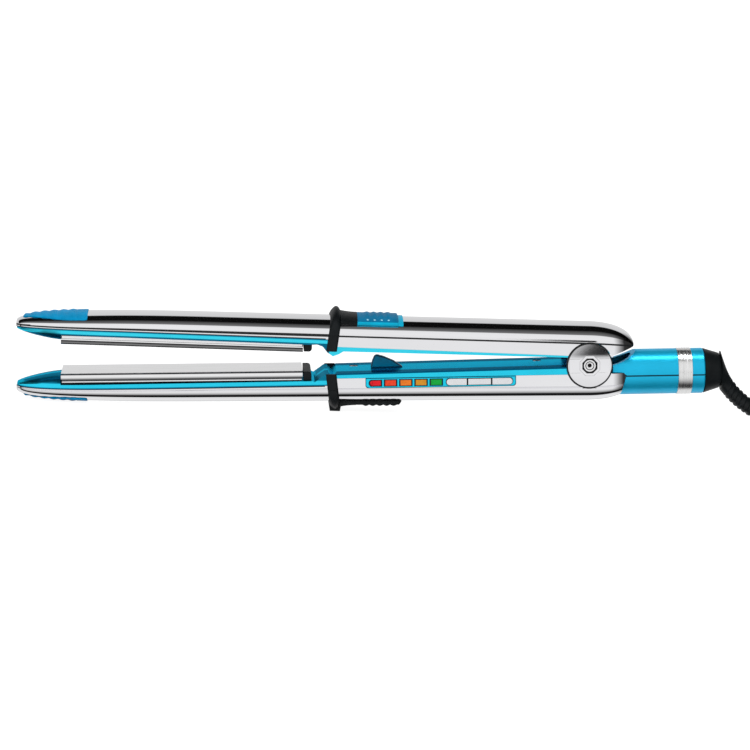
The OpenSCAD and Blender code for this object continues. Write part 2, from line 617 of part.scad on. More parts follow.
// Hinge
pin_half = 12.4;
hinge_hole_r = 1.1;
module hinge_pin() color(steel_c) on_lower() difference() {
    across(pin_r, -pin_half, pin_half);
    across(hinge_hole_r, pin_half - 7, pin_half + 1);
    across(hinge_hole_r, -pin_half - 1, -pin_half + 7);
}
cap_in = 12.5;
cap_out = half_w + 0.9;
boss_in = 2.2;
module hinge_cap() difference() {
    union() {
        across(cap_r, cap_in, cap_out - 0.9);
        translate([0, cap_out - 0.9, 0]) rotate([-90, 0, 0]) cylinder(r1 = cap_r, r2 = cap_r - 0.5, h = 0.4);
        intersection() {
            across(cap_r - 0.7, cap_in, cap_out - 0.15);
            block([-cap_r, 0, -3.7], [cap_r, cap_out, 3.8]);
        }
        translate([0, cap_in, 0]) rotate([-90, 22.5, 0]) cylinder(r = 5.7, h = cap_out - cap_in, $fn = 8);
    }
    across(hinge_hole_r + 0.15, 0, 20);
    across(3.5, cap_out - boss_in, 20);
}
module front_hinge_cap() color(chrome_c) on_lower() mirror([0, 1, 0]) hinge_cap();
module back_hinge_cap() color(chrome_c) on_lower() hinge_cap();
module hinge_screw() difference() {
    union() {
        across(hinge_hole_r - fit_gap, pin_half - 6, cap_out - boss_in + 0.1);
        across(3.4, cap_out - boss_in + 0.02, cap_out - 0.35);
    }
    translate([0, cap_out - 1.4, 0]) rotate([-90, 0, 0]) cylinder(r = 1.5, h = 5, $fn = 6);
}
module hinge_screws() color(steel_c) on_lower() for (side = [0, 1]) mirror([0, side, 0]) hinge_screw();

// Torsion spring round the pin, one tail against each liner
spring_r = pin_r + spring_wire / 2 + 0.5;
spring_step = (2 * lug_in - spring_wire - 0.6) / spring_turns;
function sweep_rings(path, r, sides) = [for (i = [0:len(path) - 1])
    let (a = path[max(0, i - 1)], b = path[min(len(path) - 1, i + 1)], t = (b - a) / norm(b - a),
        n0 = cross(t, abs(t[1]) < 0.9 ? [0, 1, 0] : [1, 0, 0]), n = n0 / norm(n0), m = cross(t, n))
        [for (k = [0:sides - 1]) let (w = 360 * (k + 0.5) / sides) path[i] + r[i] * (cos(w) * n + sin(w) * m)]];
module tube(path, r, sides) {
    rings = sweep_rings(path, r, sides);
    n = len(path);
    last = (n - 1) * sides;
    sidesf = [for (k = [0:n - 2], i = [0:sides - 1])
        let (j = (i + 1) % sides)
            each [[k * sides + i, (k + 1) * sides + i, k * sides + j],
                [(k + 1) * sides + i, (k + 1) * sides + j, k * sides + j]]];
    ends = [for (i = [1:sides - 2]) each [[0, i, i + 1], [last, last + i + 1, last + i]]];
    polyhedron(points = [for (ring = rings) each ring], faces = concat(sidesf, ends));
}
function same(path, r) = [for (p = path) r];
module hinge_spring() color("gray") on_lower() {
    path = [for (i = [0:12 * spring_turns]) let (a = 30 * i)
        [spring_r * cos(a), -lug_in + 0.3 + spring_wire / 2 + spring_step * i / 12, spring_r * sin(a)]];
    tube(path, same(path, spring_wire / 2), 6);
}

// Barrel: two half shells on the lower arm that hold the swivel
module barrel_axis() translate([0, 0, barrel_drop]) rotate([0, -90, 0]) children();
cavity_r = barrel_r - barrel_wall;
ring_u1 = barrel_end - ring_setback;
ring_u0 = ring_u1 - ring_w;
groove_r = barrel_r - 0.8;
flange_t = 2.6;
module barrel_blank() difference() {
    barrel_axis() difference() {
        union() {
            cylinder(r = barrel_r, h = ring_u0);
            cylinder(r = groove_r, h = barrel_end);
            translate([0, 0, ring_u1]) cylinder(r = barrel_r, h = barrel_end - ring_u1 - 0.6);
            translate([0, 0, barrel_end - 0.6]) cylinder(r1 = barrel_r, r2 = barrel_r - 0.5, h = 0.6);
        }
        translate([0, 0, -1]) cylinder(r = cavity_r, h = barrel_end - flange_t + 1);
        cylinder(r = stem_r + pin_fit, h = barrel_end + 1);
    }
}
// The neck sweeps from the hinge up to the barrel's crown
neck = [[neck_top_u - 0.3, barrel_drop], [neck_top_u - 0.3, barrel_drop - 0.7], [neck_top_u + 1.9, part_handle - 0.2],
    [-cap_r - 0.6, part_handle - 0.4], [-cap_r - 0.6, 0.9], [-15.6, 0.2], [-18.6, -0.9], [-21.6, -2.4], [-24.4, -4.2],
    [-27, -barrel_r + barrel_drop - 1], [-barrel_end - 1, -barrel_r + barrel_drop - 1], [-barrel_end - 1, barrel_drop]];
module barrel_upper() color(blue_c) on_lower() intersection() {
    barrel_blank();
    side_view(neck, -barrel_r - 1, barrel_r + 1);
}
spigot_r = 8.4;
spigot_u = 14;
module barrel_lower() color(blue_c) on_lower() {
    intersection() {
        barrel_blank();
        side_view([[neck_top_u - 0.2, barrel_drop + 0.06], [neck_low_u - 0.2, neck_w + 1], [-barrel_end - 1, neck_w + 1],
            [-barrel_end - 1, barrel_drop + 0.06]], -barrel_r - 1, barrel_r + 1);
    }
    // A half-round spigot that reaches into the lower arm
    intersection() {
        barrel_axis() difference() {
            union() {
                translate([0, 0, spigot_u]) cylinder(r = spigot_r, h = 9);
                translate([0, 0, 1 - neck_top_u]) cylinder(r = cavity_r + 0.3, h = 2);
            }
            cylinder(r = spigot_r - 1.2, h = barrel_end);
        }
        block([-barrel_end, -barrel_r, barrel_drop + 0.06], [0, barrel_r, neck_w]);
    }
}
module barrel_ring() color(steel_c) on_lower() barrel_axis() translate([0, 0, ring_u0 + fit_gap]) difference() {
    cylinder(r = barrel_r + 0.25, h = ring_w - 2 * fit_gap);
    translate([0, 0, -1]) cylinder(r = groove_r + fit_gap, h = ring_w + 2);
}

// Swivel: stem, retaining disc, slip rings and the cone that carries the cord
stem_in = ring_u0 - 4;
keep_r = cavity_r - 1.2;
keep_t = 2;
keep_u = barrel_end - flange_t - 0.1;
cone_u0 = barrel_end + 0.3;
module swivel_cone() color(black_c) {
    on_lower() barrel_axis() {
        translate([0, 0, stem_in]) cylinder(r = stem_r - 2, h = keep_u - stem_in);
        translate([0, 0, keep_u - keep_t]) cylinder(r = keep_r, h = keep_t);
        translate([0, 0, keep_u - 1]) cylinder(r = stem_r, h = cone_u0 - keep_u + 2);
        translate([0, 0, cone_u0]) cylinder(r1 = barrel_r - 0.2, r2 = cone_end_r, h = cone_l - 1.2);
        translate([0, 0, cone_u0 + cone_l - 1.2]) cylinder(r1 = cone_end_r, r2 = cone_end_r - cone_chamfer, h = 1.2);
    }
}
slip_r = stem_r - 0.6;
slip_us = [stem_in + 1.5, stem_in + 5.5];
slip_w = 2;
module slip_rings() color("gold") on_lower() barrel_axis() for (u = slip_us) translate([0, 0, u]) difference() {
    cylinder(r = slip_r, h = slip_w);
    translate([0, 0, -1]) cylinder(r = stem_r - 2 + fit_gap, h = slip_w + 2);
}
module contact_brushes() color("darkgoldenrod") on_lower() for (u = slip_us)
    block([-u - slip_w + 0.2, -1.5, barrel_drop + slip_r + 0.3], [-u - 0.2, 1.5, barrel_drop + cavity_r - 0.4]);

module power_wires() color("crimson") on_lower() for (side = [-1, 1])
    translate([-wire_back, side * wire_y, wire_w]) rotate([0, 90, 0])
        cylinder(r = wire_r, h = wire_back + plate_u0 - 4);

// Strain relief: a tapered, ribbed sleeve that leaves the swivel downwards and levels out on the floor
// Upper and lower edge and half width at nine stations, from the cone's end face down to the floor
boot_edges = [[-2.6, 15.6, -2.6, -6.4, 7.6], [-0.3, 9.4, -0.3, -8.9, 8.2], [3.9, -0.1, 0.6, -10.6, 5.6],
    [8.3, -6.8, 4.3, -14.4, 4.5], [12.4, -10.9, 8.7, -18.3, 4.3], [17, -14.5, 13.5, -21.7, 4.2],
    [21.9, -17.6, 18.9, -24.8, 4.1], [27.2, -20, 24.9, -27.5, 4], [31.5, -21.7, 31.5, -29.7, 4]];
boot_x = hinge_x + cone_end * cos(open_angle) + barrel_drop * sin(open_angle) + 0.3;
boot_z = hinge_z + cone_end * sin(open_angle) - barrel_drop * cos(open_angle) - 0.4;
cord_r = cord_d / 2;
boot_run = 31.5;            // from the swivel cone to the end of the strain relief
boot_end = [boot_x + boot_run, 0, cord_r];
boot_rib = 0.35;
boot_ribs = 16;
// A point at share t along a route, on a smooth curve through its points
function at(route, t) = let (n = len(route) - 1, k = min(n - 1, floor(t * n)), f = t * n - k,
    p0 = route[max(0, k - 1)], p1 = route[k], p2 = route[k + 1], p3 = route[min(n, k + 2)])
    0.5 * (2 * p1 + (p2 - p0) * f + (2 * p0 - 5 * p1 + 4 * p2 - p3) * f * f + (3 * p1 - p0 - 3 * p2 + p3) * f * f * f);
module strain_relief() color(black_c) {
    steps = 2 * boot_ribs;
    rings = [for (i = [0:steps])
        let (e = at(boot_edges, i / steps), up = [e[0] - e[2], e[1] - e[3]] / 2, r = norm(up),
            g = 1 + (i > 10 && i < steps - 1 && i % 2 == 0 ? boot_rib / r : 0))
            [for (k = [0:11]) let (a = 30 * k)
                [boot_x + (e[0] + e[2]) / 2 + up[0] * cos(a) * g, e[4] * sin(a) * g,
                    boot_z + (e[1] + e[3]) / 2 + up[1] * cos(a) * g]]];
    difference() {
        loft(rings);
        // It starts at the swivel cone's end face, and lies on the floor at its other end
        on_lower() barrel_axis() translate([0, 0, cone_u0 - 40]) cylinder(r = 30, h = 40 + cone_l + 0.02);
        translate([0, -10, -10]) cube([boot_x + 60, 20, 10]);
        translate([boot_end[0], -10, -1]) cube(20);
    }
}

// Cord: the lead from the strain relief, the hank, and the tail to the plug
lead_route = [[0, 0, 0], [6, 0, 0], [11, -0.4, 0.1], [15.5, -1.7, 0.2], [20, -4, 0.4], [24.5, -6.9, 0.6],
    [29, -9.7, 0.8], [33.5, -12, 0.9], [38, -13.2, 1], [43, -13.5, 1], [49, -13.5, 1]];
hank_z = cord_r + 1;        // it lies on its tie
hank_layers = 4;
hank_step = 7;              // from one turn to the next within a layer
hank_rise = 6.5;            // from layer to layer
hank_in = 16.25;            // half width at the innermost run
hank_run = 100;
hank_mid = 13.25;           // y of the winding's middle line
hank_x0 = boot_end[0] + 43;
hank_waist = 3;             // how far the tie draws each side in
waist_at = [0, 1, 0.55, 0.15, 0];
run_steps = 4;
fold_steps = 8;
hank_runs = 3 * hank_layers;
// Half width of run k, which falls and rises again, and the layer that it ends in
function run_off(k) = hank_in + hank_step / 2 * abs(3 - k % 6);
function run_layer(k) = k < 0 ? 0 : min(hank_layers - 1, floor(k / 3));
function run_point(k, i) = let (j = k % 2 == 0 ? i : run_steps - i, side = k % 2 == 0 ? -1 : 1,
    f = i / run_steps, rise = run_layer(k - 1) + (run_layer(k) - run_layer(k - 1)) * f * f * (3 - 2 * f))
    [hank_x0 + hank_run * j / run_steps, hank_mid + side * (run_off(k) - hank_waist * waist_at[j]),
        hank_z + hank_rise * rise];
function fold_point(k, i) = let (side = k % 2 == 0 ? -1 : 1, r = (run_off(k) + run_off(k + 1)) / 2,
    a = 180 * i / fold_steps)
    [k % 2 == 0 ? hank_x0 + hank_run + r * sin(a) : hank_x0 - r * sin(a),
        hank_mid + side * ((run_off(k) - run_off(k + 1)) / 2 + r * cos(a)), hank_z + hank_rise * run_layer(k)];
hank_path = concat([[hank_x0 + 6, hank_mid - run_off(0), hank_z], [hank_x0 + 10, hank_mid - run_off(0), hank_z]],
    [for (k = [0:hank_runs - 1]) each concat(
        [for (i = [1:run_steps - 1]) run_point(k, i)],
        [for (i = [0:fold_steps]) fold_point(k, i)])],
    [[hank_x0 + 6, hank_mid - run_off(0), hank_z + hank_rise * (hank_layers - 1)]]);
hank_top = hank_z + hank_rise * (hank_layers - 1);
tail_route = [[6, -13.5, 0], [10.5, -13.5, 0], [17, -12.2, 0], [25, -10.6, 0], [31, -10.6, 0.1], [37.5, -10.6, 1.3],
    [43.5, -10.3, 4.1], [49, -9.6, 7.4], [55, -8.2, 10], [61.5, -6, 11.4], [68.5, -3, 11.7], [74, -0.4, 11.7]];
tail_path = [for (p = tail_route) [hank_x0 + p[0], p[1], hank_top + p[2]]];
lead_path = [for (p = lead_route) [boot_end[0] + 0.02 + p[0] * 0.999, p[1], cord_r + p[2]]];
function spans(path) = [for (i = [0:len(path) - 2]) norm(path[i + 1] - path[i])];
function total(v) = [for (i = 0, s = v[0]; i < len(v); i = i + 1, s = s + (i < len(v) ? v[i] : 0)) s][len(v) - 1];
// The least gap between the winding's turns, between points a fold or more apart along it
hank_gap = min([for (i = [0:len(hank_path) - 9], j = [i + 8:len(hank_path) - 1])
    norm(hank_path[i] - hank_path[j])]) - cord_d;
echo(hank_least_gap = hank_gap, hank_length = total(spans(hank_path)),
    lead_length = total(spans(lead_path)), tail_length = total(spans(tail_path)));

module cord_lead() color("black") tube(lead_path, same(lead_path, cord_r), 10);
module cord_hank() color("black") tube(hank_path, same(hank_path, cord_r), 6);
module cord_tail() color("black") tube(tail_path, same(tail_path, cord_r), 10);

tie_w = 9;
tie_t = 0.9;
tie_y0 = hank_mid - run_off(0) + hank_waist - cord_r - 0.9;
tie_y1 = hank_mid + run_off(1) - hank_waist + cord_r + 0.9;
tie_z1 = hank_top + cord_r + 0.4;
module hank_tie() color("gray") translate([hank_x0 + (hank_run / run_steps) - tie_w / 2, 0, 0]) difference() {
    block([0, tie_y0 - tie_t, 0], [tie_w, tie_y1 + tie_t, tie_z1 + tie_t]);
    block([-1, tie_y0, tie_t], [tie_w + 1, tie_y1, tie_z1]);
}

// Plug: it lies on the hank, turned a little towards its middle
plug_turn = 25.3;
module at_plug() translate(tail_path[len(tail_path) - 1]) rotate([0, 0, plug_turn]) children();
plug_boot_l = 14;
module plug_outline(r) for (y = [-1, 1], z = [-1, 1])
    translate([0, y * (plug_w / 2 - r), z * (plug_t / 2 - r)]) rotate([0, 90, 0]) cylinder(r = r, h = 0.1, $fn = 24);
module plug_body() color("black") at_plug() {
    rotate([0, 90, 0]) translate([0, 0, 0.02]) cylinder(r1 = cord_r + 0.8, r2 = cord_r + 1.8, h = plug_boot_l);
    hull() {
        translate([plug_boot_l - 3, 0, 0]) rotate([0, 90, 0]) cylinder(r = cord_r + 2, h = 0.1, $fn = 24);
        translate([plug_boot_l + 9, 0, 0]) plug_outline(4);
        translate([plug_boot_l + plug_l - 2, 0, 0]) plug_outline(4);
        translate([plug_boot_l + plug_l - 0.1, 0, 0]) plug_outline(3);
    }
}
blade_pitch = 12.7;
module plug_blades() color("gold") at_plug() for (side = [-1, 1])
    translate([plug_boot_l + plug_l, side * blade_pitch / 2, 0]) difference() {
        translate([0.02, -0.75, -3.2]) cube([blade_l, 1.5, 6.4]);
        translate([blade_l - 4, -1, 0]) rotate([-90, 0, 0]) cylinder(r = 1.5, h = 2);
    }

lower_shell();
upper_shell();
lower_liner();
upper_liner();
lower_plate();
upper_plate();
lower_carrier();
upper_carrier();
lower_heater();
upper_heater();
lower_cushions();
upper_cushions();
lower_sensor();
upper_sensor();
lower_plate_stop();
upper_plate_stop();
lower_tip_grip();
upper_tip_grip();
lower_finger_rest();
upper_finger_rest();
upper_finger_pad();
control_bezel();
lamp_red();
lamp_scarlet();
lamp_orange();
lamp_amber();
lamp_green();
power_button();
plus_button();
minus_button();
circuit_board();
lamp_leds();
button_switches();
alignment_fin();
hinge_pin();
front_hinge_cap();
back_hinge_cap();
hinge_screws();
hinge_spring();
barrel_upper();
barrel_lower();
barrel_ring();
contact_brushes();
power_wires();
lower_liner_screws();
upper_liner_screws();
swivel_cone();
slip_rings();
strain_relief();
cord_lead();
cord_hank();
cord_tail();
hank_tie();
plug_body();
plug_blades();
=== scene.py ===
import bpy
import bmesh
from math import copysign, cos, hypot, pi, radians, sin, sqrt
from mathutils import Matrix, Vector


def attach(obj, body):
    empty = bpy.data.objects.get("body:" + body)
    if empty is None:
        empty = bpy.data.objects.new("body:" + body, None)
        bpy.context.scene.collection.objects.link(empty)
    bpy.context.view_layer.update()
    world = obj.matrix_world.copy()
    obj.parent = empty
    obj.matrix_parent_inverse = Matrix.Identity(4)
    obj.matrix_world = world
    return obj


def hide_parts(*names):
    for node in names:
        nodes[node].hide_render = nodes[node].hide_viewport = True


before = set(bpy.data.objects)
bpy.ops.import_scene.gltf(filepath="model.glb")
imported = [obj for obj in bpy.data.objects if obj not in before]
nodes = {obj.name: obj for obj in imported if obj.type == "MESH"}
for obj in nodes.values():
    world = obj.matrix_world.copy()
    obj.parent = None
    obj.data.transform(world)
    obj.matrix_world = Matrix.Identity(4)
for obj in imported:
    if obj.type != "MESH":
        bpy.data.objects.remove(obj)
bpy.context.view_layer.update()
bpy.context.scene.view_settings.view_transform = "Standard"

# ---- the part's sizes, in millimetres, as in part.scad ----
# The hinge axis in the row frame, and how far the lower arm hangs open at rest
HX, HZ, OPEN = 115.3, 31.6061, radians(3.2)
COS, SIN = cos(OPEN), sin(OPEN)
# Along an arm, u is the distance from the hinge axis: nose tip, tail end, plate's front end, finger band
ARM_L, TAIL_L, PLATE_U1, BAND_U = 303.0, 24, 278.8, 135.0
HALF_W, PLATE_L, PLATE_TOE = 14.5, 127, 0.7
# Where the nose starts to narrow and how blunt it is, from the side and from above
NOSE_U, NOSE_N, NOSE_SIDE_U, NOSE_SIDE_N = 206.04, 2.45, 252.096, 2.5
# Out of an arm, w: the line where shell and liner meet, behind the band, ahead of it, and its drop at the tip
PART_BACK, PART_FRONT, PART_DROP = 4.8, 8.6, 1.4
# How square the arm's back is, where 1 makes an ellipse
DOME_N = 1.1
BARREL_DROP, BARREL_R, CAP_R = 6.55, 12.1, 12.2
BEZEL_U, BEZEL_L = 39.1, 79.5


def new_object(name, data):
    obj = bpy.data.objects.new(name, data)
    bpy.context.scene.collection.objects.link(obj)
    return obj


# ---- camera ----
def camera():
    """The photograph's camera: its turn, height and roll, its distance in metres, and what it looks at."""
    turn, height, roll, distance = radians(-3.298), radians(11.609), radians(2.828), 1.6161
    target = Vector(((HX - 112.49) / 1000, 0, (HZ - 12.42) / 1000))
    lens, sensor, near, far = 145.79, 36, 0.05, 50
    back = Vector((sin(turn) * cos(height), -cos(turn) * cos(height), sin(height)))
    right = (-back).cross(Vector((0, 0, 1))).normalized()
    up = right.cross(-back)
    rolled_right = right * cos(roll) + up * sin(roll)
    rolled_up = -right * sin(roll) + up * cos(roll)
    cam = bpy.data.cameras.new("camera")
    cam.lens, cam.sensor_width, cam.clip_start, cam.clip_end = lens, sensor, near, far
    obj = new_object("camera", cam)
    m = Matrix((rolled_right, rolled_up, back)).transposed().to_4x4()
    m.translation = target + back * distance
    obj.matrix_world = m
    bpy.context.scene.camera = obj


camera()


# ---- node helpers ----
class Nodes:
    def __init__(self, tree):
        tree.nodes.clear()
        self.tree = tree

    def add(self, kind, **values):
        n = self.tree.nodes.new("ShaderNode" + kind)
        for k, v in values.items():
            setattr(n, k, v)
        return n

    def link(self, a, b):
        self.tree.links.new(a, b)

    def put(self, socket, value):
        if hasattr(value, "is_output"):
            self.link(value, socket)
        elif isinstance(value, tuple) and len(value) == 3 and len(socket.default_value) == 4:
            socket.default_value = (*value, 1)
        else:
            socket.default_value = value

    def fill(self, n, values):
        for k, v in values.items():
            self.put(n.inputs[k], v)
        return n.outputs[0]

    def math(self, op, a, b=0.0, clamp=False):
        return self.fill(self.add("Math", operation=op, use_clamp=clamp), {0: a, 1: b})

    def mul(self, a, b):
        return self.math("MULTIPLY", a, b)

    def sub(self, a, b):
        return self.math("SUBTRACT", a, b)

    def ramp(self, fac, stops, mode="LINEAR"):
        n = self.add("ValToRGB")
        n.color_ramp.interpolation = mode
        els = n.color_ramp.elements
        while len(els) > 1:
            els.remove(els[-1])
        for i, (p, c) in enumerate(stops):
            e = els[0] if i == 0 else els.new(p)
            e.position = p
            e.color = (c, c, c, 1) if isinstance(c, float) else (*c, 1)
        self.link(fac, n.inputs[0])
        return n.outputs[0]

    def noise(self, scale, detail, stretch=None, rough=0.55):
        coord = self.add("TexCoord").outputs["Object"]
        if stretch:
            coord = self.fill(self.add("Mapping"), {"Vector": coord, "Scale": stretch})
        return self.fill(self.add("TexNoise"), {"Vector": coord, "Scale": scale, "Detail": detail,
                                                "Roughness": rough})

    def mix(self, fac, a, b):
        n = self.add("Mix", data_type="RGBA")
        self.fill(n, {"Factor": fac, "A": a, "B": b})
        return n.outputs["Result"]


# ---- floor, world and lamps ----
FLOOR_HALF, FLOOR_CELLS = 3, 24


def floor():
    """A white floor that takes the shadow, and that mirrors don't see."""
    bm = bmesh.new()
    n = FLOOR_CELLS
    for i in range(n + 1):
        for j in range(n + 1):
            bm.verts.new((-FLOOR_HALF + 2 * FLOOR_HALF * i / n, -FLOOR_HALF + 2 * FLOOR_HALF * j / n, 0))
    bm.verts.ensure_lookup_table()
    for i in range(n):
        for j in range(n):
            a = i * (n + 1) + j
            bm.faces.new([bm.verts[k] for k in (a, a + n + 1, a + n + 2, a + 1)])
    me = bpy.data.meshes.new("floor")
    bm.to_mesh(me)
    obj = new_object("floor", me)
    mat = bpy.data.materials.new("floor")
    mat.use_nodes = True
    g = Nodes(mat.node_tree)
    out = g.add("OutputMaterial")
    path = g.add("LightPath").outputs
    plain = g.fill(g.add("BsdfDiffuse"), {"Color": (0.82, 0.82, 0.82)})
    faint = g.fill(g.add("BsdfDiffuse"), {"Color": (0.28, 0.28, 0.28)})
    glow = g.fill(g.add("Emission"), {"Strength": 0.93})
    seen = g.fill(g.add("AddShader"), {0: faint, 1: glow})
    direct = g.math("MAXIMUM", path["Is Camera Ray"], path["Is Transmission Ray"])
    first = g.fill(g.add("MixShader"), {0: direct, 1: plain, 2: seen})
    clear = g.add("BsdfTransparent").outputs[0]
    both = g.fill(g.add("MixShader"), {0: path["Is Glossy Ray"], 1: first, 2: clear})
    g.link(both, out.inputs["Surface"])
    me.materials.append(mat)


# What the chrome mirrors, by the angle over the object from the camera's side: (degrees, grey)
STUDIO = [(-180, 0.78), (-158, 0.75), (-150, 0.55), (-141, 0.9), (-92, 0.86), (-88, 0.01), (-58, 0.01),
          (-55, 0.22), (-28, 0.80), (-16, 0.93), (5.5, 0.93), (20, 0.95), (57, 0.92), (62, 0.2), (95, 0.05),
          (98, 0.004), (135, 0.004), (139, 0.7), (179, 0.76)]
# The studio falls dark towards the cord's side: (how far that way, 0.5 is neither, share of the light)
CORD_SIDE = [(0.70, 1.0), (0.79, 0.35), (0.86, 0.04), (1.0, 0.03)]
# A dark card just over the level, which the hinge cap mirrors as its crescent
CARD_ACROSS = [(0.5535, 0.0), (0.556, 1.0), (0.5705, 1.0), (0.5725, 0.0)]
CARD_UP = [(-6.5, 0.0), (-4.6, 1.0), (6, 1.0), (8, 0.0)]
# Lamps: place in metres, side in metres, power in watts
LAMPS = {"key": ((-0.35, -0.9, 1.1), 0.9, 5.0), "fill": ((0.9, -0.7, 0.8), 0.7, 2.0),
         "rim": ((0.2, 1.1, 0.9), 0.8, 2.0)}


def studio_world():
    world = bpy.data.worlds.new("studio")
    bpy.context.scene.world = world
    world.use_nodes = True
    g = Nodes(world.node_tree)
    out = g.add("OutputWorld")
    path = g.add("LightPath").outputs
    xyz = g.add("SeparateXYZ")
    g.link(g.add("TexCoord").outputs["Generated"], xyz.inputs[0])
    # The angle over the object from the camera's side, 0 level, 90 degrees straight up
    turn = g.math("ARCTAN2", xyz.outputs["Z"], g.mul(xyz.outputs["Y"], -1.0))
    over = g.math("ADD", g.math("DIVIDE", turn, 2 * pi), 0.5)
    across = g.math("ADD", g.mul(xyz.outputs["X"], 0.5), 0.5)

    def by_angle(stops):
        return g.ramp(over, [(deg / 360 + 0.5, grey) for deg, grey in stops])

    studio = g.mix(g.ramp(across, CORD_SIDE), (0.0, 0.0, 0.0), by_angle(STUDIO))
    card = g.mul(g.ramp(across, CARD_ACROSS), by_angle(CARD_UP))
    studio = g.mix(card, studio, (0.012, 0.012, 0.013))
    direct = g.math("MAXIMUM", path["Is Camera Ray"], path["Is Transmission Ray"])
    lit = g.mix(direct, (0.66, 0.67, 0.68), (1.0, 1.0, 1.0))
    back = g.fill(g.add("Background"), {"Color": g.mix(path["Is Glossy Ray"], lit, studio)})
    g.link(back, out.inputs["Surface"])


def lamps():
    for name, (place, size, power) in LAMPS.items():
        lamp = bpy.data.lights.new(name, "AREA")
        lamp.size, lamp.energy = size, power
        obj = new_object(name, lamp)
        obj.location = place
        obj.visible_glossy = False
        obj.rotation_euler = (-Vector(place)).to_track_quat("-Z", "Y").to_euler()

    # A long soft box over the satin barrel alone, for its upper highlight
    lamp = bpy.data.lights.new("strip", "AREA")
    lamp.shape, lamp.size, lamp.size_y, lamp.energy = "RECTANGLE", 0.5, 0.12, 2.3
    obj = new_object("strip", lamp)
    obj.location, barrel_middle = (0.155, -0.085, 0.83), Vector((0.155, 0, 0.025))
    obj.rotation_euler = (barrel_middle - obj.location).to_track_quat("-Z", "Y").to_euler()
    obj.visible_diffuse = obj.visible_camera = False
    satin = bpy.data.collections.new("satin")
    for name in ("barrel_upper", "barrel_lower", "barrel_ring"):
        satin.objects.link(nodes[name])
    obj.light_linking.receiver_collection = satin


floor()
studio_world()
lamps()


# ---- points in the arms' own frames: u toward the nose, y across, w outward ----
def upper(u, y, w):
    return Vector((HX - u, y, HZ + w)) / 1000


def lower(u, y, w):
    return Vector((HX - u * COS + w * SIN, y, HZ - u * SIN - w * COS)) / 1000


# ---- cord, one curve from the sleeve to the plug ----
CORD_R = 3.0
BOOT_X, BOOT_Z = 187.554, 28.669
BOOT_END = (219.054, 0.0, 3.0)
# The hank: where its runs start, their middle line and length, the lowest layer and the rise to the next
HANK_X0 = BOOT_END[0] + 43
HANK_MID, HANK_RUN, HANK_Z, HANK_RISE = 13.25, 100.0, 4.0, 6.5
# Half width at the innermost run, the step from turn to turn, and how far the tie draws each side in
HANK_IN, HANK_STEP, HANK_WAIST = 16.25, 7, 3
RUNS, LAYERS, RUN_STEPS, FOLD_STEPS = 12, 4, 4, 8
WAIST_AT = (0, 1, 0.55, 0.15, 0)


def run_off(k):
    """How far run k lies from the hank's middle line."""
    return HANK_IN + HANK_STEP / 2 * abs(3 - k % 6)


def run_layer(k):
    return min(LAYERS - 1, k // 3)


def run_point(k, i):
    """Step i of straight run k, which climbs to its layer on the way."""
    j, side, f = (i, -1, i / RUN_STEPS) if k % 2 == 0 else (RUN_STEPS - i, 1, i / RUN_STEPS)
    low = 0 if k < 1 else run_layer(k - 1)
    rise = low + (run_layer(k) - low) * f * f * (3 - 2 * f)
    return (HANK_X0 + HANK_RUN * j / RUN_STEPS, HANK_MID + side * (run_off(k) - HANK_WAIST * WAIST_AT[j]),
            HANK_Z + HANK_RISE * rise)


def fold_point(k, i):
    """Step i of the half round after run k."""
    side, r, a = (-1 if k % 2 == 0 else 1), (run_off(k) + run_off(k + 1)) / 2, pi * i / FOLD_STEPS
    x = HANK_X0 + HANK_RUN + r * sin(a) if k % 2 == 0 else HANK_X0 - r * sin(a)
    y = HANK_MID + side * ((run_off(k) - run_off(k + 1)) / 2 + r * cos(a))
    return (x, y, HANK_Z + HANK_RISE * run_layer(k))


# The lead from the sleeve's end, and the tail from the hank to the plug
LEAD = [(0, 0, 0), (6, 0, 0), (11, -0.4, 0.1), (15.5, -1.7, 0.2), (20, -4, 0.4), (24.5, -6.9, 0.6), (29, -9.7, 0.8),
        (33.5, -12, 0.9), (38, -13.2, 1), (43, -13.5, 1)]
TAIL = [(6, -13.5, 0), (10.5, -13.5, 0), (17, -12.2, 0), (25, -10.6, 0), (31, -10.6, 0.1), (37.5, -10.6, 1.3),
        (43.5, -10.3, 4.1), (49, -9.6, 7.4), (55, -8.2, 10), (61.5, -6, 11.4), (68.5, -3, 11.7), (74, -0.4, 11.7)]
TAIL_Z = HANK_Z + HANK_RISE * (LAYERS - 1)


def cord_points():
    pts = [(BOOT_END[0] + p[0], p[1], CORD_R + p[2]) for p in LEAD]
    pts += [(HANK_X0 + x, HANK_MID - run_off(0), HANK_Z) for x in (6, 10)]
    for k in range(RUNS):
        pts += [run_point(k, i) for i in range(1, RUN_STEPS)] + [fold_point(k, i) for i in range(FOLD_STEPS + 1)]
    return [Vector(p) / 1000 for p in pts + [(HANK_X0 + p[0], p[1], TAIL_Z + p[2]) for p in TAIL]]


def smooth(pts, n):
    """Points on a smooth curve through pts, n to a step."""
    out = []
    for i in range(len(pts) - 1):
        a, b = pts[max(i - 1, 0)], pts[min(i + 2, len(pts) - 1)]
        p, q = pts[i], pts[i + 1]
        for k in range(n):
            t = k / n
            m0, m1 = (q - a) / 2, (b - p) / 2
            size = (q - p).length
            m0 = m0.normalized() * size
            m1 = m1.normalized() * size
            out.append(p * (2 * t**3 - 3 * t * t + 1) + m0 * (t**3 - 2 * t * t + t)
                       + q * (3 * t * t - 2 * t**3) + m1 * (t**3 - t * t))
    return out + [pts[-1]]


